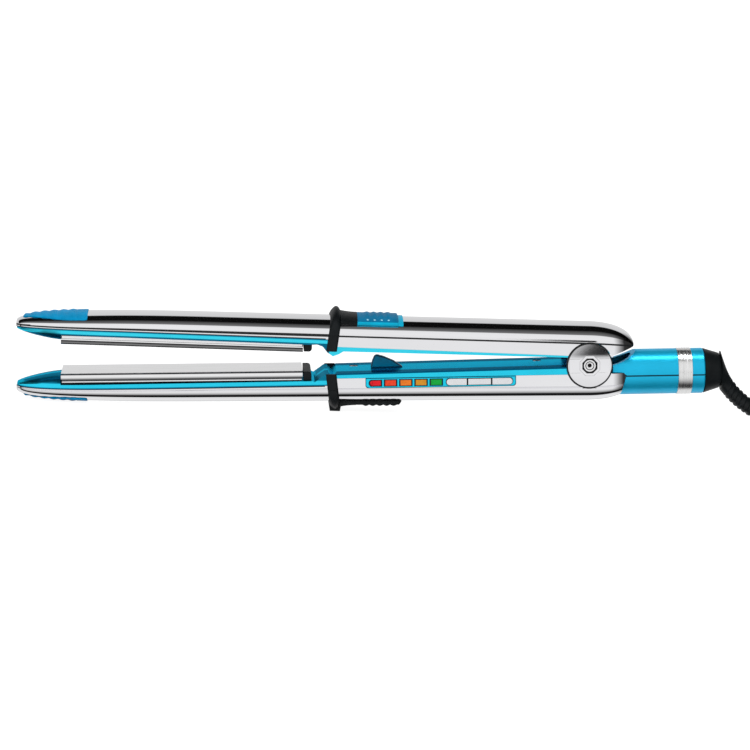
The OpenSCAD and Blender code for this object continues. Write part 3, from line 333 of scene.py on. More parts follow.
def cord():
    """The curve and its length in metres. Its section is a unit circle, sized by each point's radius."""
    pts = smooth(cord_points(), 3)
    cu = bpy.data.curves.new("mains_cord", "CURVE")
    cu.dimensions, cu.bevel_depth, cu.bevel_resolution, cu.use_fill_caps = "3D", 1.0, 4, True
    sp = cu.splines.new("POLY")
    sp.points.add(len(pts) - 1)
    for p, q in zip(sp.points, pts):
        p.co = (*q, 1)
        p.radius = CORD_R / 1000
    sp.use_smooth = True
    obj = new_object("mains_cord", cu)
    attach(obj, "cord_swivel")
    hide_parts("cord_lead", "cord_hank", "cord_tail")
    return obj, sum((b - a).length for a, b in zip(pts, pts[1:]))


cord_obj, cord_len = cord()


# ---- mesh helpers ----
def mesh_piece(name, verts, faces, body, stand_for=(), smooth_angle=35.0):
    me = bpy.data.meshes.new(name)
    me.from_pydata([tuple(v) for v in verts], [], faces)
    bm = bmesh.new()
    bm.from_mesh(me)
    bmesh.ops.remove_doubles(bm, verts=bm.verts, dist=1e-7)
    bmesh.ops.recalc_face_normals(bm, faces=bm.faces)
    bm.to_mesh(me)
    bm.free()
    me.shade_smooth()
    if smooth_angle:
        me.set_sharp_from_angle(angle=radians(smooth_angle))
    obj = new_object(name, me)
    if body:
        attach(obj, body)
        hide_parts(*stand_for)
    return obj


def loft(rings, closed_ends=True):
    """Quads between rings of equal count; the ends are fans round their middles."""
    m, verts, faces = len(rings[0]), [v for r in rings for v in r], []
    for k in range(len(rings) - 1):
        for i in range(m):
            j = (i + 1) % m
            faces.append((k * m + i, k * m + j, (k + 1) * m + j, (k + 1) * m + i))
    if closed_ends:
        for base in (0, (len(rings) - 1) * m):
            mid = sum((verts[base + i] for i in range(m)), Vector()) / m
            verts.append(mid)
            faces += [(base + i, base + (i + 1) % m, len(verts) - 1) for i in range(m)]
    return verts, faces


def join(*parts):
    verts, faces = [], []
    for v, f in parts:
        faces += [tuple(len(verts) + i for i in q) for q in f]
        verts += v
    return verts, faces


def spow(x, e):
    """A power that keeps the sign."""
    return copysign(abs(x) ** e, x)


# ---- strain relief, tie and plug ----
# The sleeve's back and belly lines from (BOOT_X, BOOT_Z), and its half width: (x, z, x, z, half width)
BOOT_EDGES = [(-2.6, 15.6, -2.6, -6.4, 7.6), (-0.3, 9.4, -0.3, -8.9, 8.2), (3.9, -0.1, 0.6, -10.6, 5.6),
              (8.3, -6.8, 4.3, -14.4, 4.5), (12.4, -10.9, 8.7, -18.3, 4.3), (17, -14.5, 13.5, -21.7, 4.2),
              (21.9, -17.6, 18.9, -24.8, 4.1), (27.2, -20, 24.9, -27.5, 4), (31.5, -21.7, 31.5, -29.7, 4)]


def at_share(rows, t):
    """The rows' smooth curve at share t of its way."""
    n = len(rows) - 1
    k = min(n - 1, int(t * n))
    f = t * n - k
    p = [rows[max(0, k - 1)], rows[k], rows[k + 1], rows[min(n, k + 2)]]
    return [0.5 * (2 * b + (c - a) * f + (2 * a - 5 * b + 4 * c - d) * f * f + (3 * b - a - 3 * c + d) * f**3)
            for a, b, c, d in zip(*p)]


def sleeve():
    ribs, first_rib, last_rib, rib_h, rib_base = 16, 0.325, 0.965, 0.42, 0.08
    # The swivel cone's face, along the barrel from the hinge
    cone_face = 71.73
    rings, n = [], 256
    for i in range(n + 1):
        t = i / n
        e = at_share(BOOT_EDGES, t)
        ux, uz = (e[0] - e[2]) / 2, (e[1] - e[3]) / 2
        r = hypot(ux, uz)
        rib = 0.0
        if first_rib < t < last_rib:
            rib = min(1.0, max(0.0, 0.62 + 1.5 * cos(2 * pi * t * ribs))) * rib_h - rib_base
        ring = []
        for k in range(40):
            a = pi * k / 20
            g = 1 + rib / r
            ring.append(Vector((BOOT_X + (e[0] + e[2]) / 2 + ux * cos(a) * g, e[4] * sin(a) * g,
                                BOOT_Z + (e[1] + e[3]) / 2 + uz * cos(a) * g)) / 1000)
        rings.append(ring)

    def past_face(v):
        return (v.x * 1000 - HX) * COS + (v.z * 1000 - HZ) * SIN - cone_face

    for ring in rings:
        for v in ring:
            near = past_face(v)
            if near < 0:
                v.x, v.z = v.x - near * COS / 1000, v.z - near * SIN / 1000
            v.z = max(v.z, 0.0)
            v.x = min(v.x, BOOT_END[0] / 1000)
    # Of the rings behind the cone's face, one stays, to close the sleeve
    first = max(i for i, ring in enumerate(rings) if all(past_face(v) < 0.01 for v in ring))
    return mesh_piece("ribbed_sleeve", *loft(rings[first:]), "cord_swivel", ["strain_relief"], 50)


def tie():
    """A strap with round corners about the hank, and its free end."""
    x0, y0, y1, z1, r = HANK_X0 + 25, -14.85, 37.85, 27.35, 4.0
    half_w, half_t = 4.5, 0.45
    path = []
    for cy, cz, a0 in ((y1 - r, z1 - r, 0), (y0 + r, z1 - r, 90), (y0 + r, half_t + r, 180),
                       (y1 - r, half_t + r, 270)):
        for a in range(a0, a0 + 91, 15):
            path.append((cy + r * cos(radians(a)), cz + r * sin(radians(a)), a))
    rings = []
    for y, z, a in path:
        n = Vector((0, cos(radians(a)), sin(radians(a))))
        prof = [(half_w * spow(cos(k * pi / 10), 0.3), half_t * spow(sin(k * pi / 10), 0.7))
                for k in range(20)]
        rings.append([(Vector((x0 + px, y, z)) + n * pn) / 1000 for px, pn in prof])
    rings.append([v.copy() for v in rings[0]])
    strap, tab = loft(rings, closed_ends=False), []
    # The free end lies back along the top, under its own hook patch
    for i in range(13):
        y = y1 - 6 - 20 * i / 12
        half = 4.3 * min(1.0, 0.35 + sqrt(max(0.0, 1 - ((i - 6) / 6.01) ** 8)))
        lift = 0.42 if 0 < i < 12 else 0.2
        tab.append([Vector((x0 + half * spow(cos(a), 0.3), y,
                            z1 + lift * spow(max(0, sin(a)), 0.5) - (0.1 if a > pi else 0))) / 1000
                    for a in (k * pi / 8 for k in range(16))])
    return mesh_piece("hook_tie", *join(strap, loft(tab)), "cord_swivel", ["hank_tie"])


def plug():
    """Sections along the plug's own axis: (distance, half width, half height, squareness)."""
    turn = radians(25.3)
    ax, ay = Vector((cos(turn), sin(turn), 0)), Vector((-sin(turn), cos(turn), 0))
    start = Vector((HANK_X0 + TAIL[-1][0], TAIL[-1][1], TAIL_Z + TAIL[-1][2]))
    rings = []
    marks = [(0.02, 3.7), (0.5, 4.1)]
    for i in range(5):
        x = 2.0 + i * 2.4
        marks += [(x, 4.2 + i * 0.1), (x + 0.3, 3.55 + i * 0.1), (x + 1.0, 3.55 + i * 0.1), (x + 1.3, 4.2 + i * 0.1)]
    for x, r in marks:
        rings.append((x, r, r, 1.0))
    body = [(14.2, 4.9, 4.7, 0.9), (16, 6.6, 5.4, 0.7), (18.4, 8.9, 6.4, 0.6), (20.8, 10.8, 7.3, 0.52),
            (23, 11.9, 7.95, 0.46)]
    for i in range(6):
        x = 26 + i * 3
        body += [(x, 12, 8, 0.45), (x + 0.4, 11.5, 8, 0.45), (x + 1.4, 11.5, 8, 0.45), (x + 1.8, 12, 8, 0.45)]
    body += [(46.5, 12, 8, 0.45), (49.2, 11.95, 7.95, 0.45), (49.8, 11.6, 7.6, 0.45), (50, 11.1, 7.1, 0.45)]
    rings += body
    out = []
    for x, hy, hz, e in rings:
        out.append([(start + ax * x + ay * hy * spow(cos(k * pi / 32), e)
                     + Vector((0, 0, hz * spow(sin(k * pi / 32), e)))) / 1000 for k in range(64)])
    return mesh_piece("moulded_plug", *loft(out), "cord_swivel", ["plug_body"], 30)


sleeve_obj, tie_obj, plug_obj = sleeve(), tie(), plug()


# ---- the arms' shape, as in part.scad ----
def blunt(t, n):
    """1 up to t = 0, then a round fall to 0 at t = 1."""
    return 1.0 if t <= 0 else 0.0 if t >= 1 else (1 - t**n) ** (1 / n)


def nose(u):
    return blunt((u - NOSE_U) / (ARM_L - NOSE_U), NOSE_N)


def tail(u):
    return blunt(-u / TAIL_L, 2.2)


# Heights over the arm's own plane at u: its back, the crease along its side, and the shell's lower edge
def top_at(u):
    return 10.2 + 10.6 * tail(u) if u < 0 else 20.8 - 4.2 * u / ARM_L - 7 * (1 - nose(u))


def crease_at(u):
    if u < 0:
        return 10.2 + 2.1 * tail(u)
    line = 12.3 - 2.7 * min(1.0, u / PLATE_U1)
    return line - (line - 8.4) * (1 - nose(u))


def part_at(u):
    return PART_BACK if u < BAND_U else PART_FRONT - PART_DROP * (1 - nose(u))


def half_at(u):
    """Half the arm's width."""
    if u < 0:
        return HALF_W * blunt(-u / (TAIL_L + 2), 3)
    return HALF_W * blunt((u - NOSE_SIDE_U) / (ARM_L + 0.4 - NOSE_SIDE_U), NOSE_SIDE_N)


def dome(u, a0, a1, lift, steps=56):
    """Points (u, y, w) over the arm's back; lift may follow the angle."""
    mid, out = crease_at(u), []
    for i in range(steps + 1):
        a = a0 + (a1 - a0) * i / steps
        up = lift(a) if callable(lift) else lift
        r = radians(a)
        z = mid + (top_at(u) + up - mid) * spow(sin(r), 1 / DOME_N)
        out.append((u, -(half_at(u) + up) * spow(cos(r), 1 / DOME_N), z))
    return out


def zip_loft(rings, point):
    """A closed skin whose sections are a strip out along one side and back along the other."""
    verts, faces = loft([[point(*p) for p in ring] for ring in rings], closed_ends=False)
    m, last = len(rings[0]), (len(rings) - 1) * len(rings[0])
    for base in (0, last):
        for i in range(m // 2 - 1):
            faces.append((base + i, base + i + 1, base + m - 2 - i, base + m - 1 - i))
    return verts, faces


def cut(obj, *cutters):
    """Takes each cutter's form out of obj, and deletes the cutter."""
    for c in cutters:
        mod = obj.modifiers.new("cut", "BOOLEAN")
        mod.operation, mod.object, mod.solver = "DIFFERENCE", c, "EXACT"
        dg = bpy.context.evaluated_depsgraph_get()
        me = bpy.data.meshes.new_from_object(obj.evaluated_get(dg))
        obj.modifiers.clear()
        obj.data = me
        bpy.data.objects.remove(c)
    obj.data.shade_smooth()
    obj.data.set_sharp_from_angle(angle=radians(32))
    return obj


def prism(outline, y0, y1, point):
    """A side view (u, w) drawn through from y0 to y1."""
    n = len(outline)
    verts = [point(u, y, w) for y in (y0, y1) for u, w in outline]
    faces = [tuple(range(n)), tuple(range(2 * n - 1, n - 1, -1))]
    faces += [(i, n + i, n + (i + 1) % n, (i + 1) % n) for i in range(n)]
    return mesh_piece("cutter", verts, faces, None, smooth_angle=0)


def circle(r, n=96):
    return [(r * cos(2 * pi * i / n), r * sin(2 * pi * i / n)) for i in range(n)]


# ---- the two chrome shells ----
def line_sizes(u):
    """Heights of the groove under the crease and of the line of painted shade at the rim."""
    tall = crease_at(u) - part_at(u)
    return min(0.98, 0.45 * tall), min(0.5, 0.22 * tall)


def shell_section(u, lift, low, groove):
    """Up one side to the crease, over the back and down the other side."""
    p, mid = half_at(u) - 0.35 + lift, crease_at(u)
    g = min(0.3, p * 0.2) if groove else 0.0
    deep, rim = line_sizes(u)
    side = [(u, -p, low), (u, -p, low + rim), (u, -p, low + (mid - low) * 0.45), (u, -p, mid - deep),
            (u, -(p - g * 0.3), mid - deep * 0.92), (u, -(p - g), mid - deep * 0.5), (u, -(p - g), mid - deep * 0.16)]
    return side + dome(u, 0, 180, lift) + [(a, -y, w) for a, y, w in reversed(side)]


def arm_solid(name, point, lift, low_by, ends, groove):
    """The arm's outer form, grown by lift, with stations that crowd at the tail and the nose."""
    us = [-TAIL_L * sin(radians(76 - 76 * i / 30)) for i in range(30)]
    us += [BAND_U * i / 24 for i in range(24)] + [BAND_U - 0.3, BAND_U + 0.3]
    us += [BAND_U + (206 - BAND_U) * i / 14 for i in range(1, 14)]
    us += [NOSE_U + (ARM_L - NOSE_U) * sin(radians(86.9 * i / 60)) for i in range(61)]
    rings = [shell_section(u, lift, part_at(u) - low_by, groove) for u in us if -TAIL_L + ends < u < ARM_L - ends]
    return mesh_piece(name, *zip_loft(rings, point), None)


# The shell's wall, and a half width past both sides of an arm
WALL, PAST = 1.3, 16


def shell(name, point, body, node, cutters):
    """The arm's form, hollowed to its wall, with the hinge cap's bore and the other cuts."""
    obj = arm_solid(name, point, 0, 0, 0, True)
    cut(obj, arm_solid("inside", point, -WALL, 1, 2.5, False),
        prism(circle(CAP_R + 0.3), -PAST, PAST, point), *cutters)
    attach(obj, body)
    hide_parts(node)
    return obj


def bezel_outline(grow, r=1.6):
    u0, u1, w0, w1 = BEZEL_U - grow, BEZEL_U + BEZEL_L + grow, 3.9, 10.2 + grow
    arc = [(cos(radians(9 * i)), sin(radians(9 * i))) for i in range(11)]
    return ([(u0, w0), (u1, w0)] + [(u1 - r + r * c, w1 - r + r * s) for c, s in arc]
            + [(u0 + r - r * s, w1 - r + r * c) for c, s in arc])


# Side views of the cuts for the barrel's neck and for the lower arm under the upper one's tail
neck = [(-19.6, -1), (-19.6, BARREL_DROP), (-16.4, BARREL_DROP + BARREL_R + 0.3), (-16.4, 27), (-33, 27), (-33, -1)]
tail_cut = [(-27, 11.6), (-24, 10.6), (-12.2, 5.6), (-12.2, -5), (-27, -5)]
upper_shell = shell("upper_chrome_shell", upper, "upper_arm", "upper_shell", [prism(tail_cut, -PAST, PAST, upper)])
lower_shell = shell("lower_chrome_shell", lower, "lower_arm", "lower_shell",
                    [prism(neck, -PAST, PAST, lower), prism(bezel_outline(0.1), -PAST, -11.5, lower)])


# ---- rubber on the arms ----
# A rubber piece's inner face, off the arm
UNDER = 0.14


def skin(u, a0, lift):
    """A section of rubber over the arm's back, from a0 degrees up one side to a0 on the other."""
    return dome(u, a0, 180 - a0, lift, 40) + list(reversed(dome(u, a0, 180 - a0, UNDER, 40)))


def crown(a, sharp):
    """1 on the top of the arm's back, 0 at its sides."""
    return sin(radians(min(180, max(0, a)))) ** sharp


def tip_grip(name, point, body, node):
    u1, u0, pitch, smooth_l = 299.4, 265.4, 5.0, 6.0
    rings, n = [], 110
    for i in range(n + 1):
        u = u0 + (u1 - u0) * i / n
        edge = min(1.0, 0.35 + (u - u0) / 0.7) * min(1.0, 0.25 + (u1 - u) / 1.2)

        # The lower edge climbs toward the tip, and turns up at the back corner
        foot = 33 + 36 * max(0.0, (u - 274) / 25.4) ** 1.6 + 4 * max(0.0, 1 - (u - u0) / 1.5) ** 2

        def lift(a, u=u, edge=edge, foot=foot):
            rise = min(1.0, (min(a, 180 - a) - foot) / 5 + 0.45)
            past = (u - u0 - smooth_l + 4.0 * (1 - crown(a, 1))) / pitch
            wave = 0.54 if past < 0 else 0.4 + 0.5 * crown(a, 1.3) * (0.5 - 0.5 * cos(2 * pi * past)) ** 0.8
            return max(0.16, wave * edge * rise)

        rings.append(skin(u, foot + (3 if i in (0, n) else 0), lift))
    obj = mesh_piece(name, *zip_loft(rings, point), body, [node], 50)
    if point is lower:
        for v in obj.data.vertices:
            v.co.z = max(v.co.z, 0.0)
    return obj


def band_ring(u, lift, top_lift):
    """One section of the finger band, which leans back as it rises."""
    low, p, mid = 2.3, half_at(u) - 0.35 + lift, crease_at(u)
    top = top_at(u) + top_lift
    side = [(u + 2 - 0.1 * low, -p, low), (u + 2 - 0.1 * (low + mid) / 2, -p, (low + mid) / 2),
            (u + 2 - 0.1 * mid, -p, mid)]
    over = []
    for i in range(49):
        r = pi * i / 48
        z = mid + (top - mid) * spow(sin(r), 1 / DOME_N)
        over.append((u + 2 - 0.1 * z, -(half_at(u) + lift) * spow(cos(r), 1 / DOME_N), z))
    return side + over + [(a, -y, w) for a, y, w in reversed(side)]


BAND_L, BAND_T, STOP_H = 5.6, 1.0, 4.8


def band(point):
    """The finger band, with the stop that stands up from its crown."""
    rings = []
    for k in range(17):
        t = k / 16
        u = BAND_U + BAND_L * (t - 0.5)
        edge = 0.45 + 0.55 * min(1.0, 4.5 * min(t, 1 - t)) ** 0.5
        stop = STOP_H * (0.3 + 0.7 * sin(pi * t) ** 0.8)
        rings.append(band_ring(u, BAND_T * edge, stop) + list(reversed(band_ring(u, UNDER, UNDER))))
    return zip_loft(rings, point)


# The collar runs from PAD_U1 to PAD_U0 and the pad on to PAD_END, its humps a pitch apart after a smooth part
PAD_U1, PAD_U0, PAD_END, PAD_PITCH, PAD_SMOOTH = 132.0, 123.4, 99.4, 3.7, 3.2
# Where both start up the arm's side, in degrees, and how thick they are
UPPER_PAD_A, UPPER_PAD_T, LOWER_PAD_A, LOWER_PAD_T = 38, 1.6, 60, 2.3


def collar(point, a0, thick):
    rings = []
    for k in range(13):
        t = k / 12
        u = PAD_U0 + 0.3 + (PAD_U1 + 0.6 - PAD_U0 - 0.3) * t

        def lift(a, t=t):
            return (thick + 0.1 + 0.85 * t * t) * min(1.0, 0.5 + (min(a, 180 - a) - a0) / 6)

        rings.append(skin(u, a0, lift))
    return zip_loft(rings, point)


def pad(point, n, u1, a0, thick, narrow, lip=0.0):
    """Crosswise humps on the crown, smooth sides below them."""
    rings, count = [], 96
    for i in range(count + 1):
        u = u1 - (u1 - PAD_END) * i / count
        edge = min(1.0, 0.25 + (u - PAD_END) / 1.6)
        if lip:
            # A thin lip behind the raised part
            edge = min(edge, 0.34 + 0.66 * min(1.0, max(0.0, (u - PAD_END - lip) / 0.7)))
        past = (PAD_U0 - u - PAD_SMOOTH) / PAD_PITCH

        def lift(a, past=past, edge=edge):
            hump = (0.5 - 0.5 * cos(2 * pi * past)) ** 0.7 if 0 < past < n else 0.0
            side = min(1.0, 0.5 + (min(a, 180 - a) - a0) / 6)
            flat = thick + 0.6 * hump * min(1.0, max(0.0, (crown(a, 1) - narrow) * 11))
            return max(0.16, flat * edge * side)

        rings.append(skin(u, a0 + (3 if i == count else 0), lift))
    return zip_loft(rings, point)


def finger_rests():
    top = mesh_piece("upper_rubber_rest", *join(band(upper), collar(upper, UPPER_PAD_A, UPPER_PAD_T)), "upper_arm",
                     ["upper_finger_rest"], 40)
    soft = mesh_piece("upper_rubber_pad", *pad(upper, 4, PAD_U0 + 0.35, UPPER_PAD_A, UPPER_PAD_T, 0.9, 2.4),
                      "upper_arm", ["upper_finger_pad"], 40)
    # The foot that the tool stands on, a block under the lower band
    side = [(BAND_U + 3.4, 17.5), (BAND_U + 2.6, 26), (BAND_U - 2.8, 26), (BAND_U - 4.4, 17.5)]
    foot = prism(side, -5.6, 5.6, lower)
    block = [v.co.copy() for v in foot.data.vertices], [tuple(p.vertices) for p in foot.data.polygons]
    bpy.data.objects.remove(foot)
    under = join(band(lower), collar(lower, LOWER_PAD_A, LOWER_PAD_T),
                 pad(lower, 5, PAD_U0 + 0.35, LOWER_PAD_A, LOWER_PAD_T, 0.6), block)
    low = mesh_piece("lower_rubber_rest", *under, "lower_arm", ["lower_finger_rest"], 40)
    for v in low.data.vertices:
        v.co.z = max(v.co.z, 0.0)
    return top, soft, low


upper_grip = tip_grip("upper_tip_rubber", upper, "upper_arm", "upper_tip_grip")
lower_grip = tip_grip("lower_tip_rubber", lower, "lower_arm", "lower_tip_grip")
rest_top, rest_pad, rest_low = finger_rests()


# ---- materials ----
M = {}


def dress(obj, name):
    obj.data.materials.clear()
    obj.data.materials.append(M[name])


def material(name, base, rough, metallic=0.0, on=(), vary=0.12, rough_vary=0.06, scale=90.0, stretch=None, bump=0.0,
             bump_scale=None, dist=0.00005, coat=0.0, coat_rough=0.08, sheen=0.0, glow=0.0, spec=0.5, tint=None,
             pattern=None, dirt=None, marks=None, low=False):
    """Makes M[name] and puts it on the CAD pieces in on. marks paints colour by place on the piece: painted shade,
    painted reflections, and the screw head's rings.
    """
    mat = bpy.data.materials.new(name)
    mat.use_nodes = True
    g = Nodes(mat.node_tree)
    out = g.add("OutputMaterial")
    b = g.add("BsdfPrincipled")
    g.link(b.outputs[0], out.inputs["Surface"])
    slow = g.noise(scale, 5.0, stretch)
    fine = g.noise(bump_scale or scale * 9, 3.0, stretch)
    dim, bright = tuple(c * (1 - vary) for c in base), tuple(min(1.0, c * (1 + vary)) for c in base)
    color = g.mix(g.ramp(slow, [(0.32, 0.0), (0.68, 1.0)]), dim, bright)
    if dirt:
        # A little dust and rubbing that follows a slow second pattern
        worn = g.ramp(g.noise(scale * 0.35, 6.0, None, 0.7), [(0.55, 0.0), (0.75, 0.35)])
        color = g.mix(worn, color, dirt)
    if marks:
        share, paint = marks(g, low)
        color = g.mix(share, color, paint)
    uneven = g.mul(g.sub(slow, 0.5), rough_vary * 2)
    g.fill(b, {"Base Color": color, "Roughness": g.math("ADD", uneven, rough, clamp=True), "Metallic": metallic,
               "Specular IOR Level": spec, "Coat Weight": coat, "Coat Roughness": coat_rough, "Sheen Weight": sheen})
    if tint:
        g.fill(b, {"Specular Tint": tint})
    if glow:
        g.fill(b, {"Emission Color": color, "Emission Strength": glow})
    if bump:
        height = pattern(g) if pattern else fine
        g.link(g.fill(g.add("Bump"), {"Strength": bump, "Distance": dist, "Height": height}), b.inputs["Normal"])
    M[name] = mat
    for piece in on:
        dress(nodes[piece], name)


def weave(g):
    """Crossed threads, about 0.6 mm apart."""
    coord = g.add("TexCoord").outputs["Object"]
    waves = []
    for axis, s in (("X", 520.0), ("Y", 300.0), ("Z", 300.0)):
        w = g.add("TexWave", bands_direction=axis)
        g.fill(w, {"Vector": coord, "Scale": s})
        waves.append(w.outputs["Fac"])
    return g.math("ADD", waves[0], g.mul(waves[1], waves[2]))


def out_of(g, low):
    """Nodes for w and u of the point in its arm's frame, in millimetres, and its y in metres."""
    xyz = g.add("SeparateXYZ")
    g.link(g.add("TexCoord").outputs["Object"], xyz.inputs[0])
    x = g.sub(g.mul(xyz.outputs["X"], 1000.0), HX)
    z = g.sub(g.mul(xyz.outputs["Z"], 1000.0), HZ)
    if low:
        return (g.sub(g.mul(x, SIN), g.mul(z, COS)),
                g.sub(g.mul(x, -COS), g.mul(z, SIN)), xyz.outputs["Y"])
    return z, g.mul(x, -1.0), xyz.outputs["Y"]


def stripes(g, value, span, stops):
    """A ramp over 0..span millimetres with hard steps."""
    return g.ramp(g.math("DIVIDE", value, span, clamp=True), [(p / span, c) for p, c in stops], "CONSTANT")


def barrel_split_shade(g, low):
    """Painted shade along the line between the barrel's two halves."""
    w, u, y = out_of(g, low)
    off = g.math("ABSOLUTE", g.sub(w, BARREL_DROP))
    return g.ramp(g.math("DIVIDE", off, 2.0, clamp=True), [(0.0, 1.0), (0.15, 1.0), (0.24, 0.0)]), (0.0, 0.03, 0.05)


def depth_of(g, low):
    """How deep behind the plate's face a point lies, and its y."""
    w, u, y = out_of(g, low)
    slope = g.mul(g.sub(PLATE_U1, u), PLATE_TOE / PLATE_L)
    return g.sub(g.sub(w, 0.1), slope), y


def carrier_painted_shade(g, low):
    """Painted shade in the gaps between the carrier, the plate and the well, and painted dark reflections in bands
    across the carrier.
    """
    d, y = depth_of(g, low)
    stops = [(0.0, 0.9), (3.75, 1.0), (4.15, 0.0), (4.75, 1.0)] if low else [(0.0, 0.0), (4.6, 1.0)]
    return stripes(g, d, 9.0, stops), (0.012, 0.013, 0.015)


def liner_painted_shade(g, low):
    """Painted shade: dark lines ahead of the band where the liner meets the shell and the plate's well."""
    # The blue strip's height, and the line of the lower liner's face behind the band: w at u = 0, and its slope
    strip, deck_w, deck_slope = 3.4, 0.6, 0.0119
    well_line = [(0.74, 0.0), (0.9, 0.8)] if low else [(0.64, 0.0), (0.74, 0.92)]
    w, u, y = out_of(g, low)
    off = g.math("ABSOLUTE", y)
    t = g.math("DIVIDE", g.sub(u, NOSE_U), ARM_L - NOSE_U, clamp=True)
    bow = g.math("POWER", g.math("SUBTRACT", 1.0, g.math("POWER", t, NOSE_N), clamp=True), 1 / NOSE_N)
    part = g.math("ADD", g.mul(bow, PART_DROP), PART_FRONT - PART_DROP)
    under = g.math("DIVIDE", g.sub(part, w), strip, clamp=True)
    ahead = g.math("GREATER_THAN", u, BAND_U + 3)
    side = g.math("GREATER_THAN", off, 0.002)
    front = g.ramp(under, [(0.0, 0.96), (0.12, 0.9), (0.24, 0.0)] + well_line)
    share = g.mul(front, ahead)
    if low:
        # The shaded band along the back half's upper edge
        depth = g.sub(w, g.math("ADD", g.mul(u, deck_slope), deck_w))
        back = g.ramp(g.math("DIVIDE", depth, 5.0, clamp=True), [(0.0, 1.0), (0.14, 1.0), (0.18, 0.0)])
        share = g.math("MAXIMUM", share, g.mul(back, g.sub(1.0, ahead)))
        side = g.math("MAXIMUM", g.mul(side, ahead), g.math("GREATER_THAN", off, 0.0078))
    return g.mul(share, side), (0.0, 0.09, 0.19)


def plate_side(g, low):
    """Dark reflections along the plate's long sides."""
    d, y = depth_of(g, low)
    out = g.math("GREATER_THAN", g.math("ABSOLUTE", y), 0.0121)
    shade = g.ramp(g.math("DIVIDE", d, 4.0, clamp=True),
                   [(0.0, 0.99), (0.2, 0.99), (0.23, 0.0), (0.52, 0.0), (0.78, 0.8)] if low else
                   [(0.0, 0.97), (0.08, 0.9), (0.2, 0.72), (0.44, 0.85), (0.47, 0.99), (0.6, 0.99), (0.63, 0.0)])
    return g.mul(shade, out), (0.012, 0.012, 0.013)


def turned_head(g, low):
    """Near black rings and a dot painted on the turned screw head, round the hinge's axis."""
    w, u, y = out_of(g, low)
    r = g.math("POWER", g.math("ADD", g.mul(u, u), g.mul(w, w)), 0.5)
    return stripes(g, r, 6.0, [(0.0, 1.0), (1.1, 0.0), (1.9, 1.0), (2.35, 0.0), (3.1, 1.0)]), (0.01, 0.01, 0.011)


# Values that several finishes share
FINE = dict(vary=0.05, rough_vary=0.05, scale=60, bump=0.1, bump_scale=1800, dist=0.00002)
LINER = dict(FINE, metallic=0.95, tint=(0.05, 0.55, 0.7))
RUBBER = dict(rough_vary=0.08, scale=140, bump=0.25, bump_scale=1600, dist=0.00004)
PLATE = dict(base=(0.86, 0.86, 0.87), rough=0.09, metallic=1.0, vary=0.04, rough_vary=0.05, scale=500,
             stretch=(0.06, 1.0, 1.0), bump=0.05, bump_scale=2600, dist=0.00002)
CAST = dict(base=(0.85, 0.85, 0.86), rough=0.2, metallic=1.0, vary=0.05, scale=400, bump=0.15, bump_scale=2000)

material("chrome", (0.84, 0.84, 0.86), 0.05, 1.0, vary=0.03, rough_vary=0.03, scale=35, stretch=(0.2, 1, 1),
         bump=0.02, bump_scale=700)
# Near black for painted shade: the shells' groove and rims, the caps' recess and rim, and the rounds of the lenses
# and keys
material("painted_shade_black", (0.012, 0.013, 0.015), 0.6, scale=200)
material("blue_upper", (0.05, 0.74, 0.95), 0.28, on=["upper_liner"], marks=liner_painted_shade, **LINER)
material("blue_lower", (0.03, 0.68, 0.93), 0.28, on=["lower_liner"], marks=liner_painted_shade, low=True, **LINER)
# Dark blue for painted shade on the rounds of the bezel and the fin
material("painted_shade_blue", (0.0, 0.07, 0.13), 0.35, 0.6, vary=0.1, scale=80)
material("blue_barrel", (0.01, 0.5, 0.8), 0.34, 0.5, on=["barrel_upper", "barrel_lower"], coat=0.25, coat_rough=0.22,
         tint=(0.1, 0.7, 0.9), marks=barrel_split_shade, low=True, **FINE)
material("blue_bezel", (0.02, 0.66, 0.9), 0.22, 0.9, on=["control_bezel"], tint=(0.05, 0.6, 0.8),
         **dict(FINE, rough_vary=0.04, scale=80, bump=0.08, bump_scale=1500))
# The upper pad's rubber comes in two copies of one blue: the first of these three finishes, darker, is painted shade
# on its top, and the third, lighter, is painted light on its lower band
material("blue_rubber_painted_shade", (0.001, 0.17, 0.34), 0.45, spec=0.06, dirt=(0.002, 0.24, 0.44), **RUBBER)
material("blue_rubber", (0.001, 0.29, 0.57), 0.45, spec=0.05, dirt=(0.002, 0.36, 0.62), **RUBBER)
material("blue_rubber_painted_light", (0.001, 0.43, 0.66), 0.4, spec=0.1, **dict(RUBBER, vary=0.1, bump=0.2))
material("pale_blue_dots", (0.35, 0.75, 0.9), 0.35, vary=0.08, scale=400, bump=0.1, bump_scale=2500)
material("black_rubber", (0.006, 0.008, 0.009), 0.5, on=["lower_plate_stop", "upper_plate_stop"], spec=0.18, vary=0.3,
         rough_vary=0.1, scale=160, bump=0.3, bump_scale=1500, dist=0.00004, dirt=(0.016, 0.018, 0.02))
material("cone_black", (0.007, 0.009, 0.01), 0.42, on=["swivel_cone"], spec=0.22, vary=0.2, rough_vary=0.08,
         scale=180, bump=0.25, bump_scale=1400, dist=0.00003)
material("cord_black", (0.008, 0.009, 0.01), 0.45, spec=0.22, vary=0.25, rough_vary=0.1, scale=220, bump=0.2,
         bump_scale=1300, dist=0.00003)
material("plug_black", (0.016, 0.016, 0.017), 0.48, vary=0.2, rough_vary=0.08, scale=150, bump=0.3, bump_scale=1300,
         dist=0.00004)
material("woven_tie", (0.04, 0.042, 0.046), 0.8, vary=0.3, scale=900, bump=0.8, dist=0.00025, sheen=0.4,
         pattern=weave)
material("plate_metal_upper", on=["upper_plate"], marks=plate_side, **PLATE)
material("plate_metal_lower", on=["lower_plate"], marks=plate_side, low=True, **PLATE)
material("cast_upper", on=["upper_carrier"], marks=carrier_painted_shade, **CAST)
material("cast_lower", on=["lower_carrier"], marks=carrier_painted_shade, low=True, **CAST)
